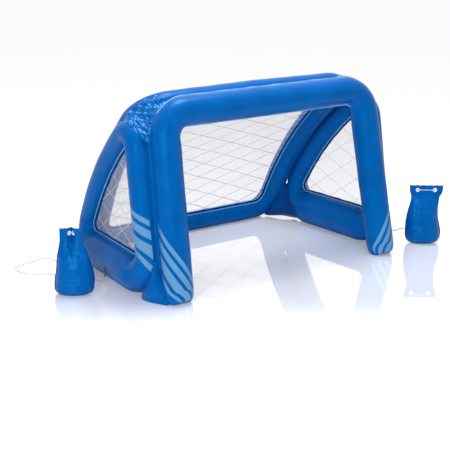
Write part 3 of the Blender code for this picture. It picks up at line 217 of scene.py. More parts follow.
# Folds on the front of each bag: points along the bag and up, then half width and height of the fold
LEFT_FOLDS = [
    ([(-0.040, 0.196), (-0.034, 0.178), (-0.020, 0.171), (-0.006, 0.184)], 0.0042, 0.0042),
    ([(-0.036, 0.214), (-0.027, 0.192)], 0.0050, -0.0050),
    ([(-0.014, 0.214), (-0.022, 0.192)], 0.0045, -0.0045),
    ([(0.006, 0.216), (0.033, 0.202)], 0.0035, 0.0019),
    ([(0.003, 0.204), (0.024, 0.195)], 0.0040, -0.0019),
    ([(0.002, 0.196), (0.018, 0.187)], 0.0030, 0.0012),
    ([(-0.068, 0.168), (-0.067, 0.116)], 0.0038, 0.0036),
    ([(-0.060, 0.170), (-0.059, 0.112)], 0.0042, -0.0017),
    ([(-0.052, 0.206), (-0.054, 0.188)], 0.0040, -0.0022),
    ([(0.018, 0.184), (0.030, 0.140), (0.034, 0.095)], 0.0075, -0.0021),
    ([(0.038, 0.180), (0.050, 0.125), (0.056, 0.080)], 0.0050, -0.0019),
    ([(0.002, 0.097), (0.018, 0.083)], 0.0040, 0.0014),
    ([(-0.034, 0.066), (-0.020, 0.057)], 0.0040, 0.0013),
    ([(-0.040, 0.150), (-0.046, 0.095), (-0.040, 0.050)], 0.0065, -0.0017),
    ([(-0.020, 0.160), (-0.008, 0.120)], 0.0060, -0.0014),
    ([(-0.076, 0.098), (-0.066, 0.088)], 0.0035, -0.0017),
    ([(0.000, 0.050), (0.030, 0.028)], 0.0060, -0.0014),
    ([(-0.075, 0.040), (-0.050, 0.022)], 0.0055, -0.0013),
]
RIGHT_FOLDS = [
    ([(-0.006, 0.128), (-0.008, 0.080), (-0.004, 0.018)], 0.0042, -0.0048),
    ([(-0.015, 0.125), (-0.017, 0.075), (-0.014, 0.025)], 0.0040, 0.0011),
    ([(0.056, 0.218), (0.055, 0.190)], 0.0038, 0.0042),
    ([(-0.071, 0.146), (-0.072, 0.116)], 0.0034, 0.0034),
    ([(-0.069, 0.094), (-0.066, 0.060)], 0.0034, 0.0030),
    ([(-0.038, 0.120), (-0.030, 0.108)], 0.0038, 0.0018),
    ([(-0.048, 0.205), (-0.046, 0.165), (-0.052, 0.125)], 0.0055, -0.0020),
    ([(-0.020, 0.205), (-0.022, 0.160)], 0.0055, -0.0017),
    ([(0.012, 0.208), (0.020, 0.160), (0.022, 0.110)], 0.0060, -0.0024),
    ([(0.038, 0.200), (0.046, 0.150), (0.044, 0.095)], 0.0055, -0.0025),
    ([(-0.055, 0.188), (-0.020, 0.180), (0.030, 0.186)], 0.0045, 0.0014),
    ([(-0.058, 0.172), (-0.010, 0.166), (0.040, 0.171)], 0.0045, -0.0017),
    ([(0.030, 0.075), (0.050, 0.045)], 0.0060, -0.0020),
    ([(-0.060, 0.040), (-0.035, 0.022)], 0.0050, -0.0018),
    ([(0.008, 0.060), (0.022, 0.030)], 0.0050, 0.0013),
    ([(-0.045, 0.085), (-0.032, 0.060)], 0.0050, -0.0014),
]

# The cords' routes: first as seen from the tab's knot, then from the bag's foot, then up the bag's
# back in shares of its half width, half depth and height
BAG_HALF_DEPTH = 0.046
LEFT_FROM_KNOT = [
    (-0.007, 0.014, 0.008), (-0.011, 0.038, 0.0), (-0.010, 0.068, 0.0), (-0.005, 0.128, 0.0),
    (0.002, 0.198, 0.0), (-0.004, 0.262, 0.0), (-0.020, 0.325, 0.0),
]
LEFT_FROM_BAG = [
    (0.112, 0.406, 0.0), (0.107, 0.451, 0.0), (0.087, 0.480, 0.0), (0.052, 0.479, 0.0),
    (0.0, 0.460, 0.0), (-0.055, 0.448, 0.0), (-0.084, 0.425, 0.0), (-0.088, 0.395, 0.0),
    (-0.076, 0.350, 0.0), (-0.050, 0.314, 0.0), (-0.010, 0.290, 0.0), (0.023, 0.256, 0.0),
    (0.058, 0.205, 0.0), (0.058, 0.150, 0.0), (0.020, 0.105, 0.0),
]
RIGHT_FROM_KNOT = [
    (0.006, 0.014, 0.008), (0.010, 0.034, 0.0), (0.005, 0.108, 0.0), (0.0, 0.188, 0.0),
    (0.008, 0.238, 0.0), (0.036, 0.274, 0.0), (0.074, 0.275, 0.0), (0.102, 0.236, 0.0),
    (0.106, 0.168, 0.0), (0.100, 0.098, 0.0), (0.105, 0.028, 0.0),
]
RIGHT_FROM_BAG = [
    (-0.022, 0.300, 0.0), (-0.010, 0.250, 0.0), (0.010, 0.220, 0.0), (0.030, 0.211, 0.0),
    (0.079, 0.219, 0.0), (0.104, 0.196, 0.0), (0.100, 0.148, 0.0), (0.078, 0.100, 0.0),
    (0.055, 0.075, 0.0),
]
LEFT_UP = [
    (-0.2424, 1.2174, 0.0143), (-0.0970, 1.2391, 0.1250), (0.0000, 1.2174, 0.2500),
    (0.1212, 1.1522, 0.4286), (0.2667, 1.0000, 0.5893), (0.3758, 0.8261, 0.7321),
    (0.3636, 0.6522, 0.8357),
]
RIGHT_UP = [
    (0.1212, 1.2174, 0.0143), (0.1697, 1.2391, 0.1250), (0.2182, 1.1957, 0.2500),
    (0.2909, 1.1304, 0.4286), (0.3879, 0.9348, 0.5893), (0.4485, 0.6522, 0.7143),
    (0.4848, 0.4348, 0.8143),
]

# Fineness of the new surfaces
PATH_STEP = 0.0055          # between the rings of a chamber
AROUND = 112                # points around a chamber
CREASE_WEB_GRID = (110, 27)              # rows up the crease and points across it
SHEET_RIM = 220             # points around a bridging sheet
SHEET_RINGS = 66            # between its middle and its rim
SHEET_ROUNDS = 1200         # of averaging over the hollows
FILM_RIM = 480              # points around a film
FILM_RINGS = 40
NET_STEP = 0.007            # between the points of a net line
BAG_COLUMNS = 85            # points across each wall of a bag
CORD_STEP = 0.004           # between the rings of a cord
CORD_AROUND = 14
KNOT_AROUND = 12

# Flat maps of the chambers
MAP_RADIUS = 0.06           # turns an angle around a chamber into metres
SIDE_MAP_START = 50         # rings of a side ring that lie before the zero of its map

# Linear colours of the small parts
BLACK = (0.004, 0.004, 0.005)
EYELET_WHITE = (0.78, 0.80, 0.84)
RING_GREY = (0.20, 0.21, 0.23)
VALVE_MILK = (0.62, 0.70, 0.80)
CORD_WHITE = (0.72, 0.72, 0.71)
SHEEN = (0.06, 0.62, 1.0, 1.0)           # tint of the vinyl's gloss

# The stage
FLOOR_REACH = 14.0
FLOOR_MIRROR_SPAN = (-1.32, -0.55)       # distance along FLOOR_VIEW, from matt to mirroring
FLOOR_VIEW = (0.54, 0.84)
FLOOR_MIRROR = 0.54         # share of the floor's light that is mirrored
FLOOR_GLOW = 0.42           # light that only the camera sees, so that the floor looks white
WORLD_SOFTNESS = 0.52       # the world's light on surfaces, where 1 is what the camera sees
# Name, place, height of the point on the middle axis that it faces, watts and width
LAMPS = [("overhead softbox", (0.1, 0.1, 2.8), 0.40, 62.0, 1.1),
         ("front softbox", (-3.5, -2.9, 1.9), 0.35, 100.0, 1.8),
         ("side softbox", (1.6, -4.2, 1.6), 0.35, 14.0, 1.6)]

# The photograph's camera
CAMERA_PLACE = (-2.716, -3.7252, 1.5491)
CAMERA_AZIMUTH = 0.6217     # radians to the right of +Y
CAMERA_DIP = 0.2987         # radians below the horizon
CAMERA_ROLL = 0.0071
CAMERA_LENS = 84.58         # millimetres, on a sensor 36 mm wide


# Small helpers

def unit(v):
    """A vector of length one."""
    return v / np.linalg.norm(v)


def units(rows):
    """Vectors of length one, row by row."""
    return rows / np.maximum(np.linalg.norm(rows, axis=-1, keepdims=True), 1e-12)


def mirrored(points):
    """The same points on the other side of the goal."""
    flipped = np.array(points, float)
    flipped[..., 0] *= -1
    return flipped


def ease(t):
    """Smooth step from 0 to 1: 3 t squared minus 2 t cubed."""
    t = np.clip(t, 0.0, 1.0)
    return t * t * (3 - 2 * t)


def full_turn(count):
    """Angles evenly around a circle."""
    return np.linspace(0, 2 * math.pi, count, endpoint=False)


def ripples(t, seed):
    """Even, repeatable waves: a sum of three sines of t whose pitch and phase follow from the seed."""
    total = 0.0
    for k in range(3):
        pitch = 1.0 + 0.73 * k + 0.11 * math.sin(seed * 7.1 + k)
        total = total + np.sin(t * pitch + seed * (2.3 + 1.7 * k)) / (1 + k)
    return total


# Centre lines of the goal, worked out as in its model

def edge(start, end, bow=0.0, normal=(0.0, 0.0, 0.0)):
    """A straight or bowed line: start + (end - start) t + 4 bow t (1 - t) normal, with its direction."""
    start, end, normal = (np.asarray(v, float) for v in (start, end, normal))

    def at(t):
        point = start + (end - start) * t + 4 * bow * t * (1 - t) * normal
        return point, unit((end - start) + 4 * bow * (1 - 2 * t) * normal)

    return at


def setback(line_in, line_out, radius):
    """How far from their corner a round of this radius leaves two lines."""
    turn = math.acos(float(np.clip(line_in(1.0)[1] @ line_out(0.0)[1], -1, 1)))
    return radius * math.tan(turn / 2)


def line_length(line):
    """Length of a line, measured along eight chords."""
    points = np.array([line(t)[0] for t in np.linspace(0, 1, 9)])
    return float(np.linalg.norm(np.diff(points, axis=0), axis=1).sum())


def rounding(start, leaving, end, arriving, steps):
    """Inner points of a round corner: a cubic that follows both directions and is as round as an arc."""
    turn = math.acos(float(np.clip(leaving @ arriving, -1, 1)))
    reach = np.linalg.norm(end - start) * (2 / 3) * math.tan(turn / 4) / math.sin(turn / 2)
    first, second = start + leaving * reach, end - arriving * reach
    t = np.linspace(0, 1, steps + 1)[1:-1, None]
    return (1 - t) ** 3 * start + 3 * t * (1 - t) ** 2 * first + 3 * t * t * (1 - t) * second + t ** 3 * end


def tube_path(lines, radii, corners, closed):
    """Centre line and radii of a tube that follows some lines with round corners between them."""
    count = len(lines)
    starts, ends = [0.0] * count, [1.0] * count
    for i in range(count if closed else count - 1):
        j = (i + 1) % count
        back = setback(lines[i], lines[j], corners[i])
        ends[i] = 1 - back / line_length(lines[i])
        starts[j] = back / line_length(lines[j])
    points, sizes = [], []
    for i in range(count):
        steps = max(2, int(line_length(lines[i]) * (ends[i] - starts[i]) / PATH_STEP))
        points += [lines[i](t)[0] for t in np.linspace(starts[i], ends[i], steps + 1)]
        sizes += [radii[i]] * (steps + 1)
        if closed or i < count - 1:
            j = (i + 1) % count
            p, leaving = lines[i](ends[i])
            q, arriving = lines[j](starts[j])
            corner_steps = max(8, int(np.linalg.norm(q - p) * 1.12 / PATH_STEP))
            points += list(rounding(p, leaving, q, arriving, corner_steps))
            share = ease(np.arange(1, corner_steps) / corner_steps)
            sizes += list(radii[i] + (radii[j] - radii[i]) * share)
    return np.array(points), np.array(sizes)


def rear_side_line(side_normal, slant):
    """Centre line of a rear ring's side tube, laid along the slanted tube of the side ring."""
    distance = SIDE_SLANT_RADIUS + REAR_SIDE_RADIUS + GAP
    params = np.linspace(-0.14, 1.14, 129)
    points = []
    for t in params:
        point, direction = slant(t)
        outwards = np.cross(side_normal, direction)
        outwards *= np.sign(outwards[1])
        turn = REAR_TOP_TURN + (REAR_FOOT_TURN - REAR_TOP_TURN) * t
        points.append(point + distance * (math.sin(turn) * outwards - math.cos(turn) * side_normal))
    points = np.array(points)
    low, high = REAR_BOTTOM_RADIUS - FLOOR_PRESS, HEIGHT - TOP_BAR_RISE - REAR_TOP_RADIUS
    top = float(np.interp(-high, -points[:, 2], params))
    foot = float(np.interp(-low, -points[:, 2], params))

    def place(t):
        return np.array([np.interp(t, params, points[:, k]) for k in range(3)])

    def at(t):
        """From the foot, t = 0, to the top, t = 1."""
        here = foot + (top - foot) * t
        return place(here), unit(place(here - 0.01) - place(here + 0.01))

    return at


def lay_out():
    """All centre lines of the right half, centred between front and back."""
    lines = SimpleNamespace()
    beam_height = HEIGHT - BEAM_DROP - BEAM_RADIUS
    lean = math.atan2(LEG_LEAN, beam_height - LEG_RADIUS)
    reach = (LEG_RADIUS + SIDE_FRONT_RADIUS + GAP) / math.cos((SIDE_FOOT_TURN - SIDE_TOP_TURN) / 2)
    reach /= math.sqrt(1 - (math.sin(lean) * math.sin(SIDE_FOOT_TURN)) ** 2)
    toe = SIDE_TOE_IN / SIDE_LENGTH
    straight_from = SIDE_FRONT_CORNER * math.tan(math.radians(49))
    front_x = WIDTH / 2 - SIDE_BOTTOM_RADIUS * math.sqrt(1 - toe ** 2) + toe * straight_from
    rise = (SIDE_BOTTOM_RADIUS - LEG_RADIUS) / (beam_height - LEG_RADIUS)
    foot_x = front_x - reach * math.cos(SIDE_FOOT_TURN) + LEG_SPLAY * rise
    foot = np.array([foot_x, LEG_RADIUS, LEG_RADIUS])
    corner = np.array([foot_x - LEG_SPLAY, foot[1] + LEG_LEAN, beam_height])

    def beside_leg(height, turn):
        on_leg = foot + (corner - foot) * (height - foot[2]) / (corner[2] - foot[2])
        return on_leg + reach * np.array([math.cos(turn), math.sin(turn), 0.0])

    front = beside_leg(SIDE_BOTTOM_RADIUS - FLOOR_PRESS, SIDE_FOOT_TURN)
    top = beside_leg(SIDE_TOP_HEIGHT, SIDE_TOP_TURN)
    rear = front + np.array([-SIDE_TOE_IN, math.sqrt(SIDE_LENGTH ** 2 - SIDE_TOE_IN ** 2), 0.0])
    lines.side_normal = unit(np.cross(rear - front, top - front))
    bow_normal = np.cross(lines.side_normal, unit(rear - top))
    bow_normal *= np.sign(bow_normal[1])
    rear_side = rear_side_line(lines.side_normal, edge(top, rear, SLANT_BOW, bow_normal))
    bar_end = rear_side(0.0)[0]
    step = HEIGHT - TOP_BAR_RISE - REAR_TOP_RADIUS - beam_height
    behind_beam = corner[1] + math.sqrt((BEAM_RADIUS + REAR_TOP_RADIUS + GAP) ** 2 - step ** 2)
    shift = np.array([0.0, -(bar_end[1] + REAR_BOTTOM_RADIUS) / 2, 0.0])
    lines.foot, lines.corner = foot + shift, corner + shift
    lines.front, lines.top, lines.rear = front + shift, top + shift, rear + shift
    lines.slant = edge(lines.top, lines.rear, SLANT_BOW, bow_normal)
    lines.side_front = edge(lines.front, lines.top)
    lines.side_bottom = edge(lines.rear, lines.front)
    lines.leg = edge(lines.corner, lines.foot)
    lines.beam = edge(np.array([0.0, lines.corner[1], beam_height]), lines.corner)
    lines.rear_side = lambda t: (rear_side(t)[0] + shift, rear_side(t)[1])
    low, high = lines.rear_side(0.0)[0], lines.rear_side(1.0)[0]
    lines.rear_bottom = edge(np.array([0.0, low[1], low[2]]), low)
    bar_y = behind_beam + shift[1]
    lines.rear_top = edge(np.array([high[0], bar_y, high[2]]),
                          np.array([0.0, bar_y, high[2] + TOP_BAR_RISE]))
    return lines


def bisectors(points, closed):
    """Direction of travel at each point of a path: midway between the chords that meet there."""
    ahead = units(np.roll(points, -1, axis=0) - points)
    behind = np.roll(ahead, 1, axis=0)
    if not closed:
        ahead[-1], behind[0] = ahead[-2], ahead[0]
    return units(ahead + behind)


def arch_path(lines):
    """Centre line and radii of the front arch, from sole to sole."""
    half, sizes = tube_path([lines.beam, lines.leg], [BEAM_RADIUS, LEG_RADIUS], [ARCH_CORNER_RADIUS],
                            closed=False)
    down = np.sin(np.linspace(0, math.pi / 2, 12))[1:]
    end = np.column_stack([np.tile(lines.foot[:2], (len(down), 1)), lines.foot[2] * (1 - down)])
    end[:, 1] -= SOLE_SHIFT * down ** 1.5
    end_sizes = SOLE_RADIUS + (LEG_RADIUS - SOLE_RADIUS) * np.sqrt(np.maximum(1 - down ** 2.6, 0))
    half, sizes = np.vstack([half, end]), np.concatenate([sizes, end_sizes])
    return np.vstack([mirrored(half[:0:-1]), half]), np.concatenate([sizes[:0:-1], sizes])


def side_path(lines):
    """Centre line and radii of the right side ring."""
    return tube_path([lines.side_front, lines.slant, lines.side_bottom],
                     [SIDE_FRONT_RADIUS, SIDE_SLANT_RADIUS, SIDE_BOTTOM_RADIUS],
                     [SIDE_TOP_CORNER, SIDE_REAR_CORNER, SIDE_FRONT_CORNER], closed=True)


def rear_path(lines):
    """Centre line and radii of the rear ring, from the middle of its bottom bar round by the right side."""
    half, sizes = tube_path([lines.rear_bottom, lines.rear_side, lines.rear_top],
                            [REAR_BOTTOM_RADIUS, REAR_SIDE_RADIUS, REAR_TOP_RADIUS],
                            [REAR_BOTTOM_CORNER, REAR_TOP_CORNER], closed=False)
    return np.vstack([half, mirrored(half[-2:0:-1])]), np.concatenate([sizes, sizes[-2:0:-1]])


# Meshes from grids of points

def surface(name, grid, closed=(False, True), flat=None, finish=None, sealed=True):
    """A mesh object from a grid of points, with flat as its UV map in metres.

    closed says for rows and columns whether the last joins the first, and a sealed surface has its
    doubled points merged and its faces turned outwards.
    """
    rows, columns = grid.shape[:2]
    i, j = np.meshgrid(np.arange(rows if closed[0] else rows - 1),
                       np.arange(columns if closed[1] else columns - 1), indexing="ij")
    i, j = i.ravel(), j.ravel()
    below, beside = (i + 1) % rows, (j + 1) % columns
    corners = np.stack([i * columns + j, i * columns + beside,
                        below * columns + beside, below * columns + j], axis=1)
    mesh = bpy.data.meshes.new(name)
    mesh.from_pydata(grid.reshape(-1, 3).tolist(), [], corners.tolist())
    if flat is not None:
        layer = mesh.uv_layers.new(name="flat")
        uv = np.stack([flat[i, j], flat[i, j + 1], flat[i + 1, j + 1], flat[i + 1, j]], axis=1)
        layer.data.foreach_set("uv", uv.astype(np.float32).ravel())
    return placed(name, mesh, finish, sealed)


def placed(name, mesh, finish, sealed=False):
    """A mesh as a smooth object in the scene, with its finish."""
    if sealed:
        work = bmesh.new()
        work.from_mesh(mesh)
        bmesh.ops.remove_doubles(work, verts=work.verts, dist=1e-6)
        bmesh.ops.recalc_face_normals(work, faces=work.faces)
        work.to_mesh(mesh)
        work.free()
    mesh.shade_smooth()
    mesh.set_sharp_from_angle(angle=math.radians(60))
    if finish:
        mesh.materials.append(finish)
    made = bpy.data.objects.new(name, mesh)
    bpy.context.scene.collection.objects.link(made)
    return made


def joined(name, pieces, finish):
    """Several mesh objects as one."""
    work = bmesh.new()
    for piece in pieces:
        work.from_mesh(piece.data)
    mesh = bpy.data.meshes.new(name)
    work.to_mesh(mesh)
    work.free()
    for piece in pieces:
        bpy.data.objects.remove(piece)
    return placed(name, mesh, finish)


def rings(centres, first, second, sizes, turns):
    """Grid of a tube: centre + size (cos a first + sin a second) for each angle a."""
    first, second = np.atleast_2d(first)[:, None], np.atleast_2d(second)[:, None]
    sizes = np.asarray(sizes, float).reshape(len(centres), -1, 1)
    return centres[:, None] + sizes * (np.cos(turns)[:, None] * first + np.sin(turns)[:, None] * second)


def capped(grid):
    """A tube's grid with a row more at each end, drawn together to the middle of that end."""
    ends = grid[[0, -1]].mean(axis=1, keepdims=True).repeat(grid.shape[1], 1)
    return np.concatenate([ends[:1], grid, ends[1:]])


def above_floor(grid, soft):
    """The grid with each height z made (z + root of (z squared + soft squared)) / 2, never below 0."""
    grid[..., 2] = 0.5 * (grid[..., 2] + np.sqrt(grid[..., 2] ** 2 + soft ** 2))
    return grid


def travelled(points):
    """Distance along a path at each of its points."""
    steps = np.linalg.norm(np.diff(points, axis=0), axis=1)
    return np.concatenate([[0.0], np.cumsum(steps)])


def cord_tube(name, points, radius, around, closed, finish):
    """A round tube along a path, its section carried along without twist."""
    travel = bisectors(points, closed)
    first = np.zeros_like(points)
    first[0] = unit(np.cross(travel[0], [0.3, 0.5, 0.8]))
    for k in range(1, len(points)):
        first[k] = unit(first[k - 1] - travel[k] * (first[k - 1] @ travel[k]))
    grid = rings(points, first, np.cross(travel, first), np.full(len(points), radius), full_turn(around))
    if closed:
        points = np.vstack([points, points[:1]])
    else:
        grid = capped(grid)
        points = np.vstack([points[:1], points, points[-1:]])
    flat = np.meshgrid(np.linspace(0, 2 * math.pi * radius, around + 1), travelled(points))
    return surface(name, grid, (closed, True), np.stack(flat, axis=-1), finish)


# Chambers

def plane_vectors(points, normals, closed):
    """Towards the inside of a ring and square to its surface, at each point of its centre line."""
    travel = bisectors(points, closed)
    normals = units(normals - travel * (normals * travel).sum(axis=1, keepdims=True))
    inwards = np.cross(normals, travel)
    middle = points.mean(axis=0)
    if ((middle - points) * inwards).sum() < 0:
        inwards = -inwards
    return inwards, normals


def bends(points, sizes, closed):
    """How strongly a tube bends at each point, from 0 on a straight to 1 in a corner."""
    travel = bisectors(points, closed)
    turn = np.linalg.norm(np.roll(travel, -1, axis=0) - np.roll(travel, 1, axis=0), axis=1)
    pace = np.linalg.norm(np.roll(points, -1, axis=0) - np.roll(points, 1, axis=0), axis=1)
    if not closed:
        turn[[0, -1]] = 0.0
    bend = np.clip(sizes * turn / np.maximum(pace, 1e-6) / 0.55, 0, 1)
    window = np.hanning(15)
    window /= window.sum()
    wide = np.concatenate([bend[-7:], bend, bend[:7]]) if closed else np.pad(bend, 7, mode="edge")
    return np.convolve(wide, window, mode="valid")


def chamber(name, points, sizes, normals, closed, seed, finish, start=0, folds=1.0):
    """A blown-up tube: round, with pinched folds on the inside of its bends and flat where it lies down.

    Its radius is r - d b c (1 - |sin(pi s / w)|) to the power 1.6, with b the bend, c how far inside the
    point lies, s the distance along the tube and w the spacing of the folds, plus slow waves. As many
    rings as start says lie before the zero of its flat map.
    """
    sizes_of = bpy.context.scene.goal_sizes
    points, sizes, normals = (np.roll(rows, start, axis=0) for rows in (points, sizes, normals))
    inwards, normals = plane_vectors(points, normals, closed)
    turns = full_turn(AROUND)
    along = travelled(points)
    bend = bends(points, sizes, closed)
    s = along[:, None]
    a = turns[None, :]
    inside = np.clip(np.cos(a), 0, 1) ** 1.3
    fold = np.pi * s / sizes_of.fold_spacing + 0.9 * ripples(s * 31, seed) + 0.35 * ripples(a * 2, seed + 3)
    pinch = (1 - np.abs(np.sin(fold))) ** 1.6
    fine = (1 - np.abs(np.sin(2.7 * fold + 1.3 * a))) ** 2.0
    reach = bend[:, None] * (inside + 0.12)
    depth = folds * sizes_of.fold_depth * reach * (pinch + 0.35 * fine)
    slow = 0.0006 * ripples(s * 21 + 1.7 * np.cos(a), seed) * np.sin(a + s * 9)
    radius = sizes[:, None] + 0.0004 - depth + slow
    grid = rings(points, inwards, normals, radius, turns)
    if closed:
        distance = travelled(np.vstack([points, points[:1]])) - along[start]
    else:
        grid = capped(grid)
        distance = np.concatenate([[0.0], np.minimum(along, along[-1] - along), [0.0]])
    flat = np.meshgrid(np.linspace(0, 2 * math.pi, AROUND + 1) * MAP_RADIUS, distance)
    return surface(name, above_floor(grid, 0.0012), (closed, True), np.stack(flat, axis=-1), finish)


def flange(name, points, sizes, normals, closed, hand, reach, seed, finish):
    """The welded edge along a chamber's seam: a thin wavy strip that stands out by its reach.

    hand is 1 for the seam on the inside of the ring and -1 for the one on its outside.
    """
    inwards, normals = plane_vectors(points, normals, closed)
    way = inwards * hand
    s = travelled(points)[:, None]
    tall = reach * (1 + 0.12 * ripples(s * 40, seed))
    lean = 0.0010 * ripples(s * 55, seed + 1)
    profile = [(-0.0015, -0.0009), (0.35, -0.0006), (1.0, -0.00035),
               (1.0, 0.00035), (0.35, 0.0006), (-0.0015, 0.0009)]
    columns = []
    for k, (out, off) in enumerate(profile):
        away = sizes[:, None] + (tall * out if k not in (0, 5) else out)
        columns.append(points + way * away + normals * (off + lean * max(out, 0)))
    grid = above_floor(np.stack(columns, axis=1), 0.001)
    return surface(name, grid if closed else capped(grid), (closed, True), finish=finish)


def crease_web(name, lines, side, seed, finish):
    """The vinyl that fills the crease between a leg and the front tube beside it.

    Across, it is a quadratic curve that leaves both tubes along their tangents, with a small welded
    ridge in the middle: 0.0010 exp(-((t - 0.5) / 0.06) squared).
    """
    rows, columns = CREASE_WEB_GRID
    leg_way = unit(lines.corner - lines.foot)
    tube_way = unit(lines.top - lines.front)
    grid = []
    for z in np.linspace(*CREASE_WEB_SPAN, rows):
        leg = lines.foot + leg_way * (z - lines.foot[2]) / leg_way[2]
        tube = lines.front + tube_way * (z - lines.front[2]) / tube_way[2]
        across = unit((tube - leg) * [1, 1, 0])
        out = np.array([-across[1], across[0], 0.0])
        out *= -np.sign(out[1])
        turn = 0.62 + 0.02 * math.sin(z * 70 + seed)
        first = leg + (LEG_RADIUS + 0.0009) * (math.cos(turn) * across + math.sin(turn) * out)
        turn = 0.64 + 0.01 * math.sin(z * 83 + seed)
        last = tube + (SIDE_FRONT_RADIUS + 0.0009) * (-math.cos(turn) * across + math.sin(turn) * out)
        middle = (first + last) / 2 - out * CREASE_WEB_DEPTH
        t = np.linspace(0, 1, columns)[:, None]
        line = (1 - t) ** 2 * first + 2 * t * (1 - t) * middle + t ** 2 * last
        ridge = 0.0010 * np.exp(-((t - 0.5) / 0.06) ** 2)
        fold = 0.0007 * np.sin(z * 190 + 5 * t + 2 * math.sin(z * 31 + seed)) * np.sin(math.pi * t)
        line = line + out * (ridge + fold)
        line[[0, -1]] -= out * CREASE_WEB_THICKNESS
        back = line[::-1] - out * CREASE_WEB_THICKNESS
        grid.append(np.vstack([line, back]))
    grid = capped(np.array(grid))
    return surface(name, grid if side > 0 else mirrored(grid), finish=finish)


def closed_curve(corners, count):
    """Points evenly along a smooth closed curve through some corners (Catmull-Rom)."""
    corners = np.asarray(corners, float)
    before, after, beyond = (np.roll(corners, places, axis=0) for places in (1, -1, -2))
    dense = []
    for a, b, c, d in zip(before, corners, after, beyond):
        t = np.linspace(0, 1, 30, endpoint=False)[:, None]
        dense.append(0.5 * (2 * b + (c - a) * t + (2 * a - 5 * b + 4 * c - d) * t ** 2
                            + (3 * b - a - 3 * c + d) * t ** 3))
    dense = np.vstack(dense)
    dense = np.vstack([dense, dense[:1]])
    length = travelled(dense)
    marks = np.linspace(0, length[-1], count, endpoint=False)
    return np.stack([np.interp(marks, length, dense[:, k]) for k in range(3)], axis=1)


def crinkles(u, v, seed, spacing):
    """Gathered folds from 0 to 1: ridges 1 - |sin| of bent waves that run in four directions.

    It is the mean of the larger of the first two and the larger of the last two.
    """
    waves = []
    for k in range(4):
        turn = seed * 1.3 + k * 0.83
        along = u * math.cos(turn) + v * math.sin(turn)
        across = v * math.cos(turn) - u * math.sin(turn)
        pitch = math.pi / (spacing * (1.15 + 0.45 * math.sin(3.1 * k + seed)))
        bent = along * pitch + 1.9 * np.sin(across * pitch * 0.39 + k * 2.1 + seed) + 2.0 * k
        waves.append((1 - np.abs(np.sin(bent))) ** 1.2)
    return 0.5 * np.maximum(waves[0], waves[1]) + 0.5 * np.maximum(waves[2], waves[3])


def bridging_sheet(name, chambers, corners, facing, folding, seed, finish, calm=10.0, swell=0.0):
    """A thin sheet drawn over the chambers between its corners, with gathered folds.

    Its height towards the way it faces is that of the chambers or, where it spans a hollow, the mean
    of its neighbours. Towards its rim it sinks into the chambers, so that only its folds stand out of
    them there. Above the height calm the folds fade. In its middle it swells by that much.
    """
    crinkle, spacing = folding
    facing = unit(np.asarray(facing, float))
    first = unit(np.cross(facing, [0.1, 0.2, 1.0]))
    second = np.cross(facing, first)
    rim = closed_curve(corners, SHEET_RIM)
    rim_flat = np.stack([rim @ first, rim @ second], axis=1)
    middle = rim_flat.mean(axis=0)
    share = np.linspace(0, 1, SHEET_RINGS)
    flat = middle + share[:, None, None] * (rim_flat - middle)[None]
    across = flat[..., :1] * first + flat[..., 1:] * second
    start = across + ((rim @ facing).mean() + 0.5) * facing
    under = np.full(flat.shape[:2], -1e3)
    way = Vector(-facing)
    for (i, j), _ in np.ndenumerate(under):
        for chamber_object in chambers:
            found, spot, _, _ = chamber_object.ray_cast(Vector(start[i, j]), way)
            if found:
                under[i, j] = max(under[i, j], np.asarray(spot) @ facing + 0.0006)
    known = under > -10
    edge_height = np.maximum(np.where(known, under, -10)[-1], rim @ facing)
    lowest = np.where(known, under, -10)
    height = np.full(under.shape, edge_height.mean())
    height[-1] = edge_height
    for _ in range(SHEET_ROUNDS):
        mean = (np.roll(height, 1, 1)[1:-1] + np.roll(height, -1, 1)[1:-1] + height[:-2] + height[2:]) / 4
        height[1:-1] = np.maximum(mean, lowest[1:-1])
        height[0] = max(height[1].mean(), lowest[0].max())
    u, v = flat[..., 0], flat[..., 1]
    inner = ease((1 - share[:, None]) * 3.2)
    z = (across + height[..., None] * facing)[..., 2]
    quiet = 0.12 + 0.88 * (1 - ease((z - calm) / 0.05))
    folds = crinkles(u, v, seed, spacing) + 0.30 * crinkles(u, v, seed + 4, spacing * 0.42)
    rise = crinkle * quiet * (folds - 0.40) * (0.45 + 0.55 * inner)
    rise += swell * ease((1 - share[:, None]) * 1.4)
    height = np.maximum(height + rise, lowest - 0.0005) - SHEET_SINK * (1 - inner)
    upper, lower = (across + (height - drop)[..., None] * facing for drop in (0.0, SHEET_THICKNESS))
    grid = np.concatenate([upper, lower[::-1]])
    grid[..., 2] = np.maximum(grid[..., 2], 0.0006)
    return surface(name, grid, finish=finish)


# Windows

def offset_outline(points, sizes, beyond):
    """The window side of a flat closed tube: each point moved inwards by its tube's radius and more."""
    travel = bisectors(points, True)
    inwards = np.stack([-travel[:, 1], travel[:, 0]], axis=1)
    middle = points.mean(axis=0)
    if ((middle - points) * inwards).sum() < 0:
        inwards = -inwards
    return points + inwards * (np.asarray(sizes) + beyond)[:, None]


def rear_window(lines, path):
    """The bent surface of the rear window: its flat outline, and how flat points are laid on it."""
    points, sizes = path
    ends = np.array([lines.rear_side(t)[0][1:] for t in np.linspace(0, 1, 65)])
    rows = np.concatenate([[0.0], np.cumsum(np.linalg.norm(np.diff(ends, axis=0), axis=1))])
    slopes = np.gradient(ends, axis=0)
    normals = units(np.stack([-slopes[:, 1], slopes[:, 0]], axis=1))

    def place(flat, lift):
        y, z = (np.interp(flat[..., 1], rows, ends[:, k]) for k in (0, 1))
        ny, nz = (np.interp(flat[..., 1], rows, normals[:, k]) for k in (0, 1))
        return np.stack([flat[..., 0], y + ny * lift, z + nz * lift], axis=-1)

    flat = np.stack([points[:, 0], np.interp(points[:, 2], ends[:, 1], rows)], axis=1)
    return SimpleNamespace(flat=flat, sizes=sizes, place=place, label="rear")


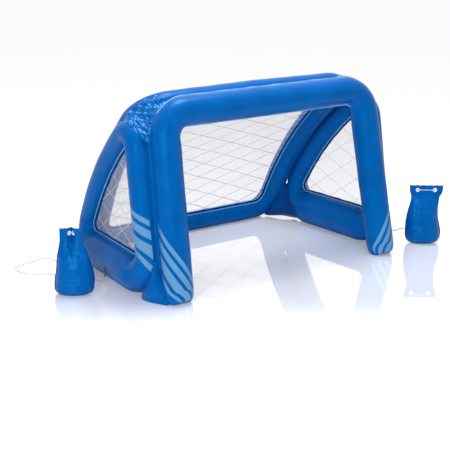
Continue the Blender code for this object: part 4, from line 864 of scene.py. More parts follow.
def side_window(lines, path, side):
    """The flat plane of a side window: its flat outline, and how flat points are laid on it."""
    points, sizes = path
    along = unit(lines.rear - lines.front)
    up = np.cross(lines.side_normal, along)
    up *= np.sign(up[2])
    inner = -lines.side_normal * np.sign(lines.side_normal[0])

    def place(flat, lift):
        lift = np.broadcast_to(lift, flat.shape[:-1])[..., None]
        spots = lines.front + flat[..., :1] * along + flat[..., 1:2] * up + lift * inner
        return spots if side > 0 else mirrored(spots)

    away = points - lines.front
    flat = np.stack([away @ along, away @ up], axis=1)
    return SimpleNamespace(flat=flat, sizes=sizes, place=place, label="right" if side > 0 else "left")


def polar(window, beyond):
    """Centre of a window and its edge as reach and length over the angle around that centre."""
    outline = offset_outline(window.flat, window.sizes, beyond)
    centre = outline.mean(axis=0)
    away = outline - centre
    angle = np.arctan2(away[:, 1], away[:, 0])
    order = np.argsort(angle)
    angle, reach = angle[order], np.linalg.norm(away, axis=1)[order]
    length = travelled(outline[order])
    angle = np.concatenate([angle - 2 * math.pi, angle, angle + 2 * math.pi])
    total = length[-1] + np.linalg.norm(outline[order][0] - outline[order][-1])
    length = np.concatenate([length - total, length, length + total])
    return centre, angle, np.tile(reach, 3), length


def relief(window, flat):
    """How far a window's film stands out of its plane: slow waves and puckers that grow to the edge.

    The puckers are p q^7 (1.03 - q) sin(2 pi s / w) with q the share of the way to the edge and s the
    length along the edge.
    """
    sizes = bpy.context.scene.goal_sizes
    centre, angles, reaches, lengths = window.polar
    away = flat - centre
    angle = np.arctan2(away[..., 1], away[..., 0])
    share = np.linalg.norm(away, axis=-1) / np.interp(angle, angles, reaches)
    s = np.interp(angle, angles, lengths)
    u, v = flat[..., 0], flat[..., 1]
    seed = {"rear": 1.0, "left": 2.0, "right": 3.0}[window.label]
    slow = sizes.film_wave * (0.6 * ripples(u * 11 + v * 6, seed) + 0.4 * ripples(v * 14 - u * 9, seed + 1))
    slow *= 1 - ease(share * 1.02) ** 4
    wave = np.sin(2 * math.pi * s / 0.021 + 1.4 * ripples(s * 17, seed))
    patch = 0.6 + 0.4 * ripples(s * 9, seed + 5)
    share = np.clip(share, 0, 1.03)
    return slow + sizes.film_pucker * share ** 7 * (1.03 - share) * 6 * wave * patch


def film_rim(window):
    """Points around the edge of a window's film, seen from its centre."""
    _, angles, reaches, _ = window.polar
    around = np.linspace(-math.pi, math.pi, FILM_RIM, endpoint=False)
    return np.interp(around, angles, reaches)[:, None] * np.stack([np.cos(around), np.sin(around)], axis=1)


def film_sheet(window, finish):
    """The clear film of a window: rings of points between its centre and its edge."""
    share = 1 - (1 - np.linspace(0, 1, FILM_RINGS)) ** 1.6
    flat = window.polar[0] + share[:, None, None] * film_rim(window)
    grid = window.place(flat, relief(window, flat))
    wide = np.concatenate([flat, flat[:, :1]], axis=1)
    return surface(f"window_film_{window.label}", grid, (False, True), wide, finish)


def net_lines(window, pitch, slope, turn, width, finish):
    """The printed net: two families of flat ribbons, each cut off at the window's edge."""
    outline = offset_outline(window.flat, window.sizes, NET_INSET)
    centre = window.net_centre
    lean = math.atan(slope)
    side = -1 if window.label == "rear" else 1
    pieces = []
    for k, angle in enumerate((turn + lean, turn - lean)):
        way = np.array([math.cos(angle), math.sin(angle)])
        across = np.array([-way[1], way[0]])
        spans = (outline - centre) @ across
        for row in range(int(math.ceil(spans.min() / pitch)), int(math.floor(spans.max() / pitch)) + 1):
            offset = spans - row * pitch
            cuts = []
            for a, b, p, q in zip(offset, np.roll(offset, -1), outline, np.roll(outline, -1, axis=0)):
                if (a < 0) != (b < 0):
                    cuts.append(float((p + (q - p) * a / (a - b) - centre) @ way))
            cuts.sort()
            for low, high in zip(cuts[::2], cuts[1::2]):
                if high - low < SHORTEST_NET_LINE:
                    continue
                steps = max(3, int((high - low) / NET_STEP))
                line = centre + across * row * pitch + np.linspace(low, high, steps)[:, None] * way
                edges = [line + across * hand * width / 2 for hand in (-1, 1)]
                half = side * NET_THICKNESS / 2
                lift = side * NET_LIFT + half * k
                section = [window.place(edges[hand], relief(window, edges[hand]) + lift + out)
                           for hand, out in ((0, -half), (1, -half), (1, half), (0, half))]
                pieces.append(surface("net_line", capped(np.stack(section, axis=1))))
    return joined(f"printed_net_{window.label}", pieces, finish)


def shaded_weld_band(window, finish):
    """The flat welded border between a chamber and its film, a little wavy across, coloured dark as painted
    shade.
    """
    width = bpy.context.scene.goal_sizes.weld_width
    s = travelled(offset_outline(window.flat, window.sizes, -BAND_TUCK))
    edge_wave = 0.0007 * ripples(s * 60, 4.0)
    shares = np.array([0.0, 0.3, 0.62, 0.86, 1.0, 1.0, 0.86, 0.62, 0.3, 0.0])
    lifts = 0.001 * np.array([1.2, 1.1, 1.0, 0.95, 0.6, -0.6, -0.95, -1.0, -1.1, -1.2])
    columns = []
    for share, lift in zip(shares, lifts):
        rim = offset_outline(window.flat, window.sizes + edge_wave * share,
                             share * (width + BAND_TUCK) - BAND_TUCK)
        wave = 0.0003 * np.sin(2 * math.pi * s / 0.017 + ripples(s * 23, 2.0)) * share * (1 - share) * 3
        columns.append(window.place(rim, lift + relief(window, rim) * share + wave))
    return surface(f"shaded_weld_band_{window.label}", np.stack(columns, axis=1), (True, True), finish=finish)


def highlit_weld_bead(window, finish):
    """A flat bead on both sides of the border, where it meets the tube, coloured light as painted highlight.
    """
    sizes = window.sizes + 0.0004 * ripples(travelled(window.flat) * 50, 6.0)
    pieces = []
    for hand in (-1, 1):
        columns = []
        for turn in full_turn(10):
            rim = offset_outline(window.flat, sizes, BEAD_HALF_WIDTH * math.cos(turn) - 0.0002)
            lift = hand * (BEAD_DISTANCE + BEAD_HALF_HEIGHT * math.sin(turn))
            columns.append(window.place(rim, lift))
        pieces.append(surface("bead", np.stack(columns, axis=1), (True, True)))
    return joined(f"highlit_weld_bead_{window.label}", pieces, finish)


# Weight bags, cords, tabs and eyelets

def put(points, place):
    """Points of a local frame in the row frame: origin + x X + y Y + z Z."""
    axes, origin = place
    return np.asarray(points, float) @ axes + origin


def across_of(axis):
    """Two unit vectors square to an axis and to each other."""
    first = unit(np.cross(axis, [0.31, 0.52, 0.79]))
    return first, np.cross(axis, first)


def smooth_line(points, per_stretch=24):
    """A dense centripetal Catmull-Rom curve through points of any dimension."""
    points = np.asarray(points, float)
    points = np.vstack([2 * points[0] - points[1], points, 2 * points[-1] - points[-2]])
    dense = []
    for a, b, c, d in zip(points, points[1:], points[2:], points[3:]):
        t0, t1 = 0.0, np.linalg.norm(b - a) ** 0.5
        t2 = t1 + np.linalg.norm(c - b) ** 0.5
        t3 = t2 + np.linalg.norm(d - c) ** 0.5
        t = np.linspace(t1, t2, per_stretch, endpoint=False)[:, None]
        ab = a + (b - a) * (t - t0) / (t1 - t0)
        bc = b + (c - b) * (t - t1) / (t2 - t1)
        cd = c + (d - c) * (t - t2) / (t3 - t2)
        abc = ab + (bc - ab) * (t - t0) / (t2 - t0)
        bcd = bc + (cd - bc) * (t - t1) / (t3 - t1)
        dense.append(abc + (bcd - abc) * (t - t1) / (t2 - t1))
    return np.vstack([*dense, points[-2:-1]])


def respaced(points, spacing):
    """The same path with its points evenly apart."""
    travel = travelled(points)
    marks = np.linspace(0, travel[-1], int(round(travel[-1] / spacing)) + 1)
    return np.stack([np.interp(marks, travel, points[:, k]) for k in range(3)], axis=1)


def bag_place(label):
    """Frame of a bag on the floor: X along its width, Y towards its back, Z up."""
    across = np.array([math.cos(BAG_TURN), -math.sin(BAG_TURN), 0.0])
    back = np.array([math.sin(BAG_TURN), math.cos(BAG_TURN), 0.0])
    return np.array([across, back, [0.0, 0.0, 1.0]]), np.array(BAG_FOOT[label])


def pleat_line(flat):
    """Plan position of the folded top at a flat distance from its middle: (along, back).

    It is the folded line of the pleat, averaged over 7 mm so that its corners are round.
    """
    near = flat[..., None] + np.linspace(-0.0035, 0.0035, 15)
    size = np.abs(near)
    beyond = np.maximum(size - BAG_HALF_WIDTH, 0)
    along = np.sign(near) * (np.interp(size, PLEAT_FLAT, PLEAT_ALONG) + beyond)
    back = np.interp(size, PLEAT_FLAT, PLEAT_BACK)
    return along.mean(axis=-1), back.mean(axis=-1)


def fold_height(x, z, folds):
    """Height of the folds at points: each is h exp(-(d / w) squared), d from its line, faded at its ends."""
    height = np.zeros_like(x)
    for line, wide, high in folds:
        line = smooth_line(line, 8)
        span = travelled(line)
        steps = np.diff(line, axis=0)
        best = np.full(x.shape, 1e9)
        share = np.zeros_like(x)
        for k, (start, step) in enumerate(zip(line, steps)):
            t = np.clip(((x - start[0]) * step[0] + (z - start[1]) * step[1]) / (step @ step), 0, 1)
            d = np.hypot(x - start[0] - t * step[0], z - start[1] - t * step[1])
            closer = d < best
            best = np.where(closer, d, best)
            share = np.where(closer, (span[k] + t * (span[k + 1] - span[k])) / span[-1], share)
        taper = 0.25 + 0.75 * np.sin(np.pi * np.clip(share, 0, 1)) ** 0.6
        height += high * np.exp(-(best / wide) ** 2) * taper
    return height


def bag_lumps(x, z, seed):
    """Slow lumps and a few sharp crumples of a filled vinyl bag, each one a wave with a bent argument.

    The slow lumps are 0.0011 sin sin, the ridges 0.0004 (1 - |sin|) cubed, and the creases
    0.0005 (1 - |sin|) to the fourth power.
    """
    slow = np.sin(58 * x + 1.9 * np.sin(33 * z + seed) + seed)
    slow = slow * np.sin(41 * z + 1.4 * np.sin(47 * x + 2 * seed))
    sharp = (1 - np.abs(np.sin(74 * x + 55 * z + 2.3 * np.sin(46 * z - 31 * x + seed) + seed))) ** 3
    cross = (1 - np.abs(np.sin(88 * z - 26 * x + 2.0 * np.sin(40 * x + 29 * z - seed)))) ** 4
    return 0.0011 * slow + 0.0004 * sharp - 0.0005 * cross


def bag_lean(label, z):
    """How far a bag leans along its width at a height."""
    return BAG_LEAN * ease(z / (0.82 * BAG_HEIGHT)) if label == "left" else 0.0


def bag_mesh(label, rows, folds, finish):
    """A filled bag: a flat hem above, a body below, and a flat welded fin down both sides.

    Across a row, s runs from -1 to 1 and the walls stand off the middle line by
    D (1 - (|s| / 0.95) ^ 2.4) ^ 0.6, with D the half depth; beyond 0.95 they lie together as the fin.
    """
    pleated = label == "left"
    rows = smooth_line(rows, 12)
    share = np.sin(np.linspace(-math.pi / 2, math.pi / 2, BAG_COLUMNS))
    z, sway, half_width, half_depth = (rows[:, k][:, None] for k in range(4))
    folded = ease((z - 0.120) / 0.118) if pleated else np.zeros_like(z)
    flat = share[None, :] * (half_width + (BAG_HALF_WIDTH - half_width) * folded)
    along, back = pleat_line(flat)
    x = flat + (along - flat) * folded
    y = back * folded
    ahead = np.stack([np.gradient(x, axis=1), np.gradient(y, axis=1)], axis=-1)
    ahead /= np.linalg.norm(ahead, axis=-1, keepdims=True)
    normal = np.stack([-ahead[..., 1], ahead[..., 0]], axis=-1)
    inner = np.clip(np.abs(share) / 0.95, 0, 1)
    bulge = np.maximum(half_depth * (1 - inner ** 2.4) ** 0.6, HEM_THICKNESS / 2)
    if pleated:
        x = np.where(x > 0, x * (1 - 0.30 * ease((z - 0.244) / 0.036)), x)
    x = x + sway + bag_lean(label, z)
    loose = (1 - ease((z - 0.226) / 0.014)) * (1 - inner[None, :] ** 8)
    on_floor = ease(z / 0.012)
    seed = 1.3 if pleated else 4.1
    front = bulge + loose * on_floor * (fold_height(x, z + 0 * x, folds) + bag_lumps(x, z, seed))
    behind = bulge + loose * on_floor * 1.4 * bag_lumps(x + 0.3, z, seed + 2)
    seam = 0.0007 * np.exp(-((z - 0.241) / 0.0012) ** 2) * (np.abs(share) < 0.97)
    front = np.maximum(front, HEM_THICKNESS / 2) + seam
    behind = np.maximum(behind, HEM_THICKNESS / 2) + seam
    wave = 0.0008 * np.sin(flat * 210 + seed) * ease((z - 0.262) / 0.018)
    fin = 0.0016 * np.sin(z * 150 + 2 * np.sin(z * 61 + seed))
    fin = fin * (inner[None, :] >= 1) * loose.max(axis=1)[:, None]
    near = np.stack([x - normal[..., 0] * front, y + fin - normal[..., 1] * front, z + wave], axis=-1)
    far = np.stack([x + normal[..., 0] * behind, y + fin + normal[..., 1] * behind, z + wave], axis=-1)
    grid = np.concatenate([near, far[:, ::-1]], axis=1)
    shut = [0.5 * (row + row[::-1]) for row in (grid[0], grid[-1])]
    grid = np.concatenate([shut[0][None], grid, shut[1][None]])
    grid[..., 2] = np.maximum(grid[..., 2], 0.0)
    u = np.concatenate([share, share[::-1], share[:1]])
    v = np.concatenate([z[:1, 0], z[:, 0], z[-1:, 0]])
    flat = np.stack(np.meshgrid(u, v), axis=-1)
    return surface(f"weight_bag_{label}", put(grid, bag_place(label)), (False, True), flat, finish)


def bored(piece, centre, axis, radius, depth):
    """Cut a round hole through a piece."""
    ends = centre + np.outer([-depth, -depth, depth, depth], axis)
    cutter = surface("cutter", rings(ends, *across_of(axis), [0, radius, radius, 0], full_turn(40)))
    cut = piece.modifiers.new("hole", "BOOLEAN")
    cut.object = cutter
    cut.operation = "DIFFERENCE"
    cut.solver = "EXACT"
    bpy.context.view_layer.update()
    mesh = bpy.data.meshes.new_from_object(piece.evaluated_get(bpy.context.evaluated_depsgraph_get()))
    finish = piece.data.materials[0]
    piece.modifiers.clear()
    piece.data = mesh
    mesh.materials.clear()
    mesh.materials.append(finish)
    bpy.data.objects.remove(cutter)


def eyelet(name, centre, axis, sizes, sheet, finish):
    """An eyelet that clasps a sheet: two domed lips, z = h + 0.001 sin(t) ^ 0.6, joined by a barrel."""
    bore, barrel, rim = sizes
    inner = sheet / 2 + GAP
    t = np.linspace(0, math.pi, 13)
    r = (bore + rim) / 2 + (rim - bore) / 2 * np.cos(t)
    z = inner + 0.0002 + 0.0010 * np.sin(t) ** 0.6
    throat = np.linspace(1, -1, 7)[1:-1]
    profile = np.vstack([np.column_stack([r, z]),
                         np.column_stack([bore + 0.0003 * (1 - throat ** 2), throat * inner]),
                         np.column_stack([r[::-1], -z[::-1]]),
                         [(rim, -inner), (barrel, -inner), (barrel, inner), (rim, inner)]])
    grid = rings(centre + axis * profile[:, 1:], *across_of(axis), profile[:, 0], full_turn(48))
    return surface(name, grid, (True, True), finish=finish)


def knot_shape(name, centre, axis, reach, finish):
    """A tied knot: a cord that runs twice around a ring and three times around its section."""
    first, second = across_of(axis)
    t = full_turn(120)[:, None]
    ring = (0.46 + 0.26 * np.cos(3 * t)) * reach
    points = centre + ring * (np.cos(2 * t) * first + np.sin(2 * t) * second)
    points = points + 0.28 * reach * np.sin(3 * t) * axis
    return cord_tube(name, points, 0.27 * reach, KNOT_AROUND, True, finish)


def bag_eyes(label):
    """Centres and outward directions of a bag's two eyelets, in the bag's own frame."""
    eyes = []
    for hand in (1, -1):
        if label == "left":
            middle = np.array([(PLEAT_ALONG[1] + PLEAT_ALONG[2]) / 2, (PLEAT_BACK[1] + PLEAT_BACK[2]) / 2])
            wall = unit(np.array([PLEAT_ALONG[1] - PLEAT_ALONG[2], PLEAT_BACK[1] - PLEAT_BACK[2]]))
            centre = np.array([hand * middle[0] + BAG_LEAN, middle[1], BAG_HEIGHT - BAG_EYE_DROP])
            normal = np.array([hand * wall[1], -wall[0], 0.0])
        else:
            centre = np.array([hand * BAG_EYE_SPACING / 2, 0.0, BAG_HEIGHT - BAG_EYE_DROP])
            normal = np.array([0.0, 1.0, 0.0])
        eyes.append((centre, normal))
    return eyes


def tab_place(lines, sign):
    """Frame of a tab on the outer seam of a side ring: X along the tube, Y up, Z outwards."""
    along = unit(lines.rear - lines.front)
    out = np.array([along[1], -along[0], 0.0])
    origin = lines.front + along * TAB_DISTANCE + out * (SIDE_BOTTOM_RADIUS + GAP)
    origin[2] = 0.0
    if sign < 0:
        along, out, origin = -mirrored(along), mirrored(out), mirrored(origin)
    return np.array([along, [0.0, 0.0, 1.0], out]), origin


def make_tab(label, place, finish):
    """A thin tab with round corners: |x / a| ^ 5 + |y / b| ^ 5 = 1, its edge rounded over its thickness."""
    turns = full_turn(96)
    wide, high = TAB_WIDTH / 2, (TAB_TOP - TAB_BOTTOM) / 2
    size = (np.abs(np.cos(turns) / wide) ** 5 + np.abs(np.sin(turns) / high) ** 5) ** -0.2
    shares = np.array([0, 0.3, 0.6, 0.85, 0.95, 0.985, 1.0, 1.0, 0.985, 0.95, 0.85, 0.6, 0.3, 0])
    lifts = np.array([0, 0, 0, 0, 0.04, 0.14, 0.34, 0.66, 0.86, 0.96, 1, 1, 1, 1]) * TAB_THICKNESS
    stitched = 0.00025 * np.exp(-((shares - 0.90) / 0.02) ** 2) * np.sign(lifts - TAB_THICKNESS / 2)
    local = np.stack([shares[:, None] * size * np.cos(turns),
                      shares[:, None] * size * np.sin(turns) + (TAB_TOP + TAB_BOTTOM) / 2,
                      np.repeat((lifts + stitched)[:, None], len(turns), axis=1)], axis=-1)
    made = surface(f"tab_{label}", put(local, place), finish=finish)
    eye = put([0, TAB_EYE_HEIGHT, TAB_THICKNESS / 2], place)
    bored(made, eye, place[0][2], TAB_EYELET[1] + GAP, 0.01)
    return made, eye


def cord_path(label, knot):
    """A cord's line from its tab's knot over the floor, up the bag's back and through its eyelets."""
    place = bag_place(label)
    (eye_a, out_a), (eye_b, out_b) = bag_eyes(label)
    face = HEM_THICKNESS / 2 + GAP + EYELET_LIP
    stop = face + GAP + math.sqrt(KNOT_RADIUS ** 2 - BAG_EYELET[0] ** 2)
    ball = put(eye_b + out_b * stop, place)
    end = put(eye_b + out_b * (stop - KNOT_RADIUS - GAP), place)
    foot = np.array(BAG_FOOT[label])
    near, far, up = {"left": (LEFT_FROM_KNOT, LEFT_FROM_BAG, LEFT_UP),
                     "right": (RIGHT_FROM_KNOT, RIGHT_FROM_BAG, RIGHT_UP)}[label]
    base = np.array([knot[0], knot[1], 0.0])
    leave = unit(np.array([near[0][0], near[0][1], near[0][2] - knot[2]]))
    route = [knot + leave * (TAB_KNOT_RADIUS + GAP)]
    route += [base + np.array(point) for point in near]
    route += [foot + np.array(point) for point in far]
    for x, y, z in np.array(up) * [BAG_HALF_WIDTH, BAG_HALF_DEPTH, BAG_HEIGHT]:
        route.append(put([x + bag_lean(label, z), y, z], place))
    bridge = (eye_a + eye_b) / 2 + np.array([0, -0.003 if label == "left" else -0.011, 0.0025])
    through = [eye_a + out_a * 0.010 - np.array([0, 0, 0.003]), eye_a + out_a * 0.0035,
               eye_a - out_a * 0.0030, bridge, eye_b - out_b * 0.0035]
    route += [*put(through, place), end]
    line = smooth_line(route)
    line[:, 2] = np.maximum(line[:, 2], CORD_DIAMETER / 2 + GAP)
    return line, ball, put(eye_b + out_b, place) - put(eye_b, place)


# Materials

class Shader:
    """A node material under construction, with short calls for the nodes used here."""

    def __init__(self, name, colour, roughness, **sockets):
        self.material = bpy.data.materials.new(name)
        self.material.use_nodes = True
        self.tree = self.material.node_tree
        self.surface = self.tree.nodes["Principled BSDF"]
        self.surface.inputs["Base Color"].default_value = (*colour, 1.0)
        self.surface.inputs["Roughness"].default_value = roughness
        for socket, value in sockets.items():
            self.surface.inputs[socket.replace("_", " ")].default_value = value
        self.material.diffuse_color = (*colour, 1.0)

    def node(self, kind, **settings):
        """A new node with some of its settings."""
        made = self.tree.nodes.new(kind)
        for name, value in settings.items():
            setattr(made, name, value)
        return made

    def link(self, output, target):
        """Let an output feed an input."""
        self.tree.links.new(output, target)

    def place(self):
        """Object coordinates."""
        return self.node("ShaderNodeTexCoord").outputs["Object"]

    def flat(self):
        """Coordinates on the piece's own flat map."""
        return self.node("ShaderNodeUVMap", uv_map="flat").outputs["UV"]

    def feed(self, socket, value):
        """Give an input another node's output, a colour or a number."""
        if isinstance(value, bpy.types.NodeSocket):
            self.link(value, socket)
        elif isinstance(value, tuple):
            socket.default_value = (*value, 1.0)
        else:
            socket.default_value = value

    def math(self, operation, *values):
        """The result of a calculation."""
        made = self.node("ShaderNodeMath", operation=operation)
        for socket, value in zip(made.inputs, values):
            self.feed(socket, value)
        return made.outputs[0]

    def noise(self, vector, scale, detail=3.0, roughness=0.5, distortion=0.0):
        """Cloudy unevenness."""
        made = self.node("ShaderNodeTexNoise")
        self.link(vector, made.inputs["Vector"])
        for name, value in (("Scale", scale), ("Detail", detail), ("Roughness", roughness),
                            ("Distortion", distortion)):
            made.inputs[name].default_value = value
        return made.outputs["Fac"]

    def ramp(self, value, *stops):
        """A colour that changes from stop to stop."""
        made = self.node("ShaderNodeValToRGB")
        self.link(value, made.inputs["Fac"])
        elements = made.color_ramp.elements
        while len(elements) < len(stops):
            elements.new(0.5)
        for element, (position, colour) in zip(elements, stops):
            element.position = position
            element.color = (*colour, 1.0)
        return made.outputs["Color"]

    def mixed(self, factor, first, second):
        """A colour between two others."""
        made = self.node("ShaderNodeMix", data_type="RGBA")
        for index, value in ((0, factor), (6, first), (7, second)):
            self.feed(made.inputs[index], value)
        return made.outputs[2]

    def bump(self, height, distance):
        """Let the surface look raised by a height from 0 to 1 times a distance."""
        made = self.node("ShaderNodeBump")
        made.inputs["Strength"].default_value = 1.0
        made.inputs["Distance"].default_value = distance
        self.link(height, made.inputs["Height"])
        self.set("Normal", made.outputs["Normal"])

    def split(self, vector):
        """The first two parts of a vector."""
        made = self.node("ShaderNodeSeparateXYZ")
        self.link(vector, made.inputs[0])
        return made.outputs[0], made.outputs[1]

    def between(self, value, start, end, most=1.0, curve="LINEAR"):
        """A value that rises from 0 at the start to its most at the end."""
        made = self.node("ShaderNodeMapRange", interpolation_type=curve)
        self.link(value, made.inputs["Value"])
        made.inputs["From Min"].default_value = start
        made.inputs["From Max"].default_value = end
        made.inputs["To Max"].default_value = most
        return made.outputs[0]

    def set(self, socket, value):
        """Feed an input of the surface."""
        self.link(value, self.surface.inputs[socket])

    def cover(self, factor, colour):
        """Lay a colour over the base colour."""
        under = self.surface.inputs["Base Color"].links[0].from_socket
        self.set("Base Color", self.mixed(factor, under, colour))


def vinyl(name, colour, roughness=0.30, crease=1.0, gloss=0.18, grain=0.10):
    """Glossy vinyl: slow and fine unevenness in its gloss and surface, and a slightly uneven colour."""
    shader = Shader(name, colour, roughness, IOR=1.5, Specular_IOR_Level=gloss, Specular_Tint=SHEEN)
    place = shader.place()
    wide = shader.noise(place, 9.0, 2.0, 0.5, 0.6)
    fine = shader.noise(place, 70.0, 4.0, 0.6, 0.3)
    height = shader.math("ADD", wide, shader.math("MULTIPLY", fine, grain))
    shader.bump(height, 0.0016 * crease)
    shader.set("Roughness", shader.math("MULTIPLY_ADD", fine, 0.12, roughness - 0.05))
    darker = tuple(c * 0.86 for c in colour)
    lighter = tuple(min(1, c * 1.12) for c in colour)
    shader.set("Base Color", shader.ramp(wide, (0.25, darker), (0.75, lighter)))
    return shader


def striped(shader, colour, slope, bands, span):
    """Add printed stripes: the other colour where v + slope u lies in a band and u in the span."""
    u, v = shader.split(shader.flat())
    height = shader.math("ADD", v, shader.math("MULTIPLY", u, slope))
    low, high = bands[0][0] - 0.01, bands[-1][1] + 0.01
    place = shader.math("DIVIDE", shader.math("SUBTRACT", height, low), high - low)
    black, white = (0.0, 0.0, 0.0), (1.0, 1.0, 1.0)
    stops = [(0.0, black)]
    for start, end in bands:
        stops += [((start - low) / (high - low), white), ((end - low) / (high - low), black)]
    inked = shader.ramp(place, *stops)
    inked.node.color_ramp.interpolation = "CONSTANT"
    reach = shader.math("LESS_THAN", shader.math("ABSOLUTE", v), 0.6)
    for operation, limit in zip(("GREATER_THAN", "LESS_THAN"), span):
        reach = shader.math("MULTIPLY", reach, shader.math(operation, u, limit))
    shader.cover(shader.math("MULTIPLY", inked, reach), colour)
    return shader


def seamed_and_foot_shaded(shader, colour):
    """Darken the welded fin down both sides, |u| near 1, and the weld under the hem, and paint shade along
    the bag's foot.
    """
    u, v = shader.split(shader.flat())
    fin = shader.between(shader.math("ABSOLUTE", u), 0.925, 0.955)
    # Painted shade along the foot of the bag: full below 4 mm, gone above 9 mm.
    foot = shader.between(v, 0.009, 0.004)
    hem = shader.between(shader.math("ABSOLUTE", shader.math("SUBTRACT", v, 0.2405)), 0.0016, 0.0008, 0.6)
    dark = shader.math("MAXIMUM", fin, shader.math("MAXIMUM", foot, hem))
    shader.cover(shader.math("MULTIPLY", dark, 0.85), colour)
    return shader


def film_material(name, haze, alpha):
    """Clear film: thin, glossy and slightly milky, with soft crinkles in its gloss; its haze colour is
    partly its milkiness and partly painted reflection.
    """
    shader = Shader(name, haze, 0.14, IOR=1.45, Alpha=alpha)
    place = shader.place()
    wide = shader.noise(place, 14.0, 3.0, 0.6, 1.2)
    fine = shader.noise(place, 55.0, 4.0, 0.6, 0.8)
    shader.bump(shader.math("ADD", wide, shader.math("MULTIPLY", fine, 0.2)), 0.004)
    return shader


def plain(name, colour, roughness):
    """A matte or glossy plastic with a faint grain."""
    shader = Shader(name, colour, roughness)
    shader.bump(shader.noise(shader.place(), 900.0), 0.0004)
    return shader


def braided(name, colour):
    """Braided cord: two sets of slanting strands, read from the cord's own flat map."""
    shader = Shader(name, colour, 0.75)
    u, v = shader.split(shader.flat())
    around = shader.math("MULTIPLY", u, 2 * math.pi / 0.0018)
    along = shader.math("MULTIPLY", v, 2 * math.pi / 0.0030)
    first = shader.math("SINE", shader.math("ADD", around, along))
    second = shader.math("SINE", shader.math("SUBTRACT", around, along))
    weave = shader.math("MAXIMUM", first, second)
    shader.bump(weave, 0.0003)
    # Darker in the grooves between the strands: painted shade.
    shade = tuple(c * 0.72 for c in colour)
    shader.set("Base Color", shader.ramp(weave, (0.0, shade), (0.7, colour)))
    return shader


def make_finishes():
    """All materials of the goal, from its colours."""
    colours = bpy.context.scene.goal_colours
    blue, deep, pale = tuple(colours.vinyl), tuple(colours.deep), tuple(colours.stripe)
    return SimpleNamespace(
        blue=vinyl("blue vinyl", blue).material,
        arch=striped(vinyl("blue vinyl of the arch", blue), pale, LEG_STRIPE_SLOPE, LEG_STRIPES,
                     LEG_STRIPE_SPAN).material,
        ring=striped(vinyl("blue vinyl of the side rings", blue), pale, SIDE_STRIPE_SLOPE, SIDE_STRIPES,
                     SIDE_STRIPE_SPAN).material,
        # Light blue seam vinyl for the beam's top seams and the window beads: painted highlight.
        seam=vinyl("seam vinyl with painted highlight", tuple(colours.seam), 0.28, 1.5, 0.4).material,
        crinkled=vinyl("gathered blue vinyl", blue, 0.20, 0.4, 0.45, 0.03).material,
        bag=seamed_and_foot_shaded(vinyl("bag vinyl", blue, 0.24, 0.4, 0.24, 0.03), deep).material,
        # Dark blue vinyl for the rear webs and the weld bands: painted shade.
        deep=vinyl("painted shade blue vinyl", deep, 0.36).material,
        film=film_material("clear film", tuple(colours.film), colours.film_milk_and_reflection).material,
        print=plain("white net print", tuple(colours.print), 0.45).material,
        black=plain("black vinyl", BLACK, 0.45).material,
        eyelet=plain("white eyelet plastic", EYELET_WHITE, 0.25).material,
        grey=plain("grey ring plastic", RING_GREY, 0.30).material,
        valve=plain("milky valve vinyl", VALVE_MILK, 0.28).material,
        cord=braided("white braided cord", CORD_WHITE).material,
    )


def dress(piece, *nodes, slot="blue_vinyl", body="goal"):
    """Let a piece ride on a body and hide the nodes that it stands for; its slot is not used."""
    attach(piece, body)
    if nodes:
        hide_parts(*nodes)


# Sizes and colours that a user would change

class GoalSizes(bpy.types.PropertyGroup):
    """Sizes of the goal's folds, films and print."""
    fold_spacing: FloatProperty(name="Fold spacing", description="Distance between the folds inside a bend",
                                default=0.017, min=0.005, max=0.08, unit="LENGTH")
    fold_depth: FloatProperty(name="Fold depth", description="How deep the folds inside a bend are",
                              default=0.0042, min=0.0, max=0.02, unit="LENGTH")
    film_wave: FloatProperty(name="Film waves", description="Height of the slow waves of the films",
                             default=0.0016, min=0.0, max=0.01, unit="LENGTH")
    film_pucker: FloatProperty(name="Film puckers", description="Height of the puckers along a film's edge",
                               default=0.0030, min=0.0, max=0.01, unit="LENGTH")
    weld_width: FloatProperty(name="Weld width", description="Width of the welded border around each film",
                              default=0.008, min=0.002, max=0.03, unit="LENGTH")
    net_line: FloatProperty(name="Net line", description="Width of a printed net line",
                            default=0.0028, min=0.0005, max=0.01, unit="LENGTH")


class GoalColours(bpy.types.PropertyGroup):
    """Colours of the goal's vinyl, film and print."""
    vinyl: FloatVectorProperty(name="Vinyl", description="Colour of the blown-up tubes and bags",
                               default=(0.0003, 0.094, 0.360), subtype="COLOR", min=0, max=1)
    # Dark blue of the bags' welds, and painted shade on the rear webs, the weld bands and the bags' feet.
    deep: FloatVectorProperty(name="Web", description="Colour of the dark webs at the rear corners",
                              default=(0.002, 0.045, 0.22), subtype="COLOR", min=0, max=1)
    # The film's haze colour and cover hold both its milkiness and painted reflection.
    film: FloatVectorProperty(name="Film", description="Colour of the clear film's haze",
                              default=(0.50, 0.50, 0.53), subtype="COLOR", min=0, max=1)
    film_milk_and_reflection: FloatProperty(name="Film haze", description="How milky the clear film is", default=0.38,
                             min=0, max=1)
    stripe: FloatVectorProperty(name="Stripes", description="Colour of the printed stripes",
                                default=(0.110, 0.262, 0.465), subtype="COLOR", min=0, max=1)
    # Light blue of the beam's top seams and the window beads: painted highlight.
    seam: FloatVectorProperty(name="Seams", description="Colour of the welded edges",
                              default=(0.24, 0.50, 0.78), subtype="COLOR", min=0, max=1)
    print: FloatVectorProperty(name="Print", description="Colour of the printed net",
                               default=(0.80, 0.81, 0.83), subtype="COLOR", min=0, max=1)


# Pieces

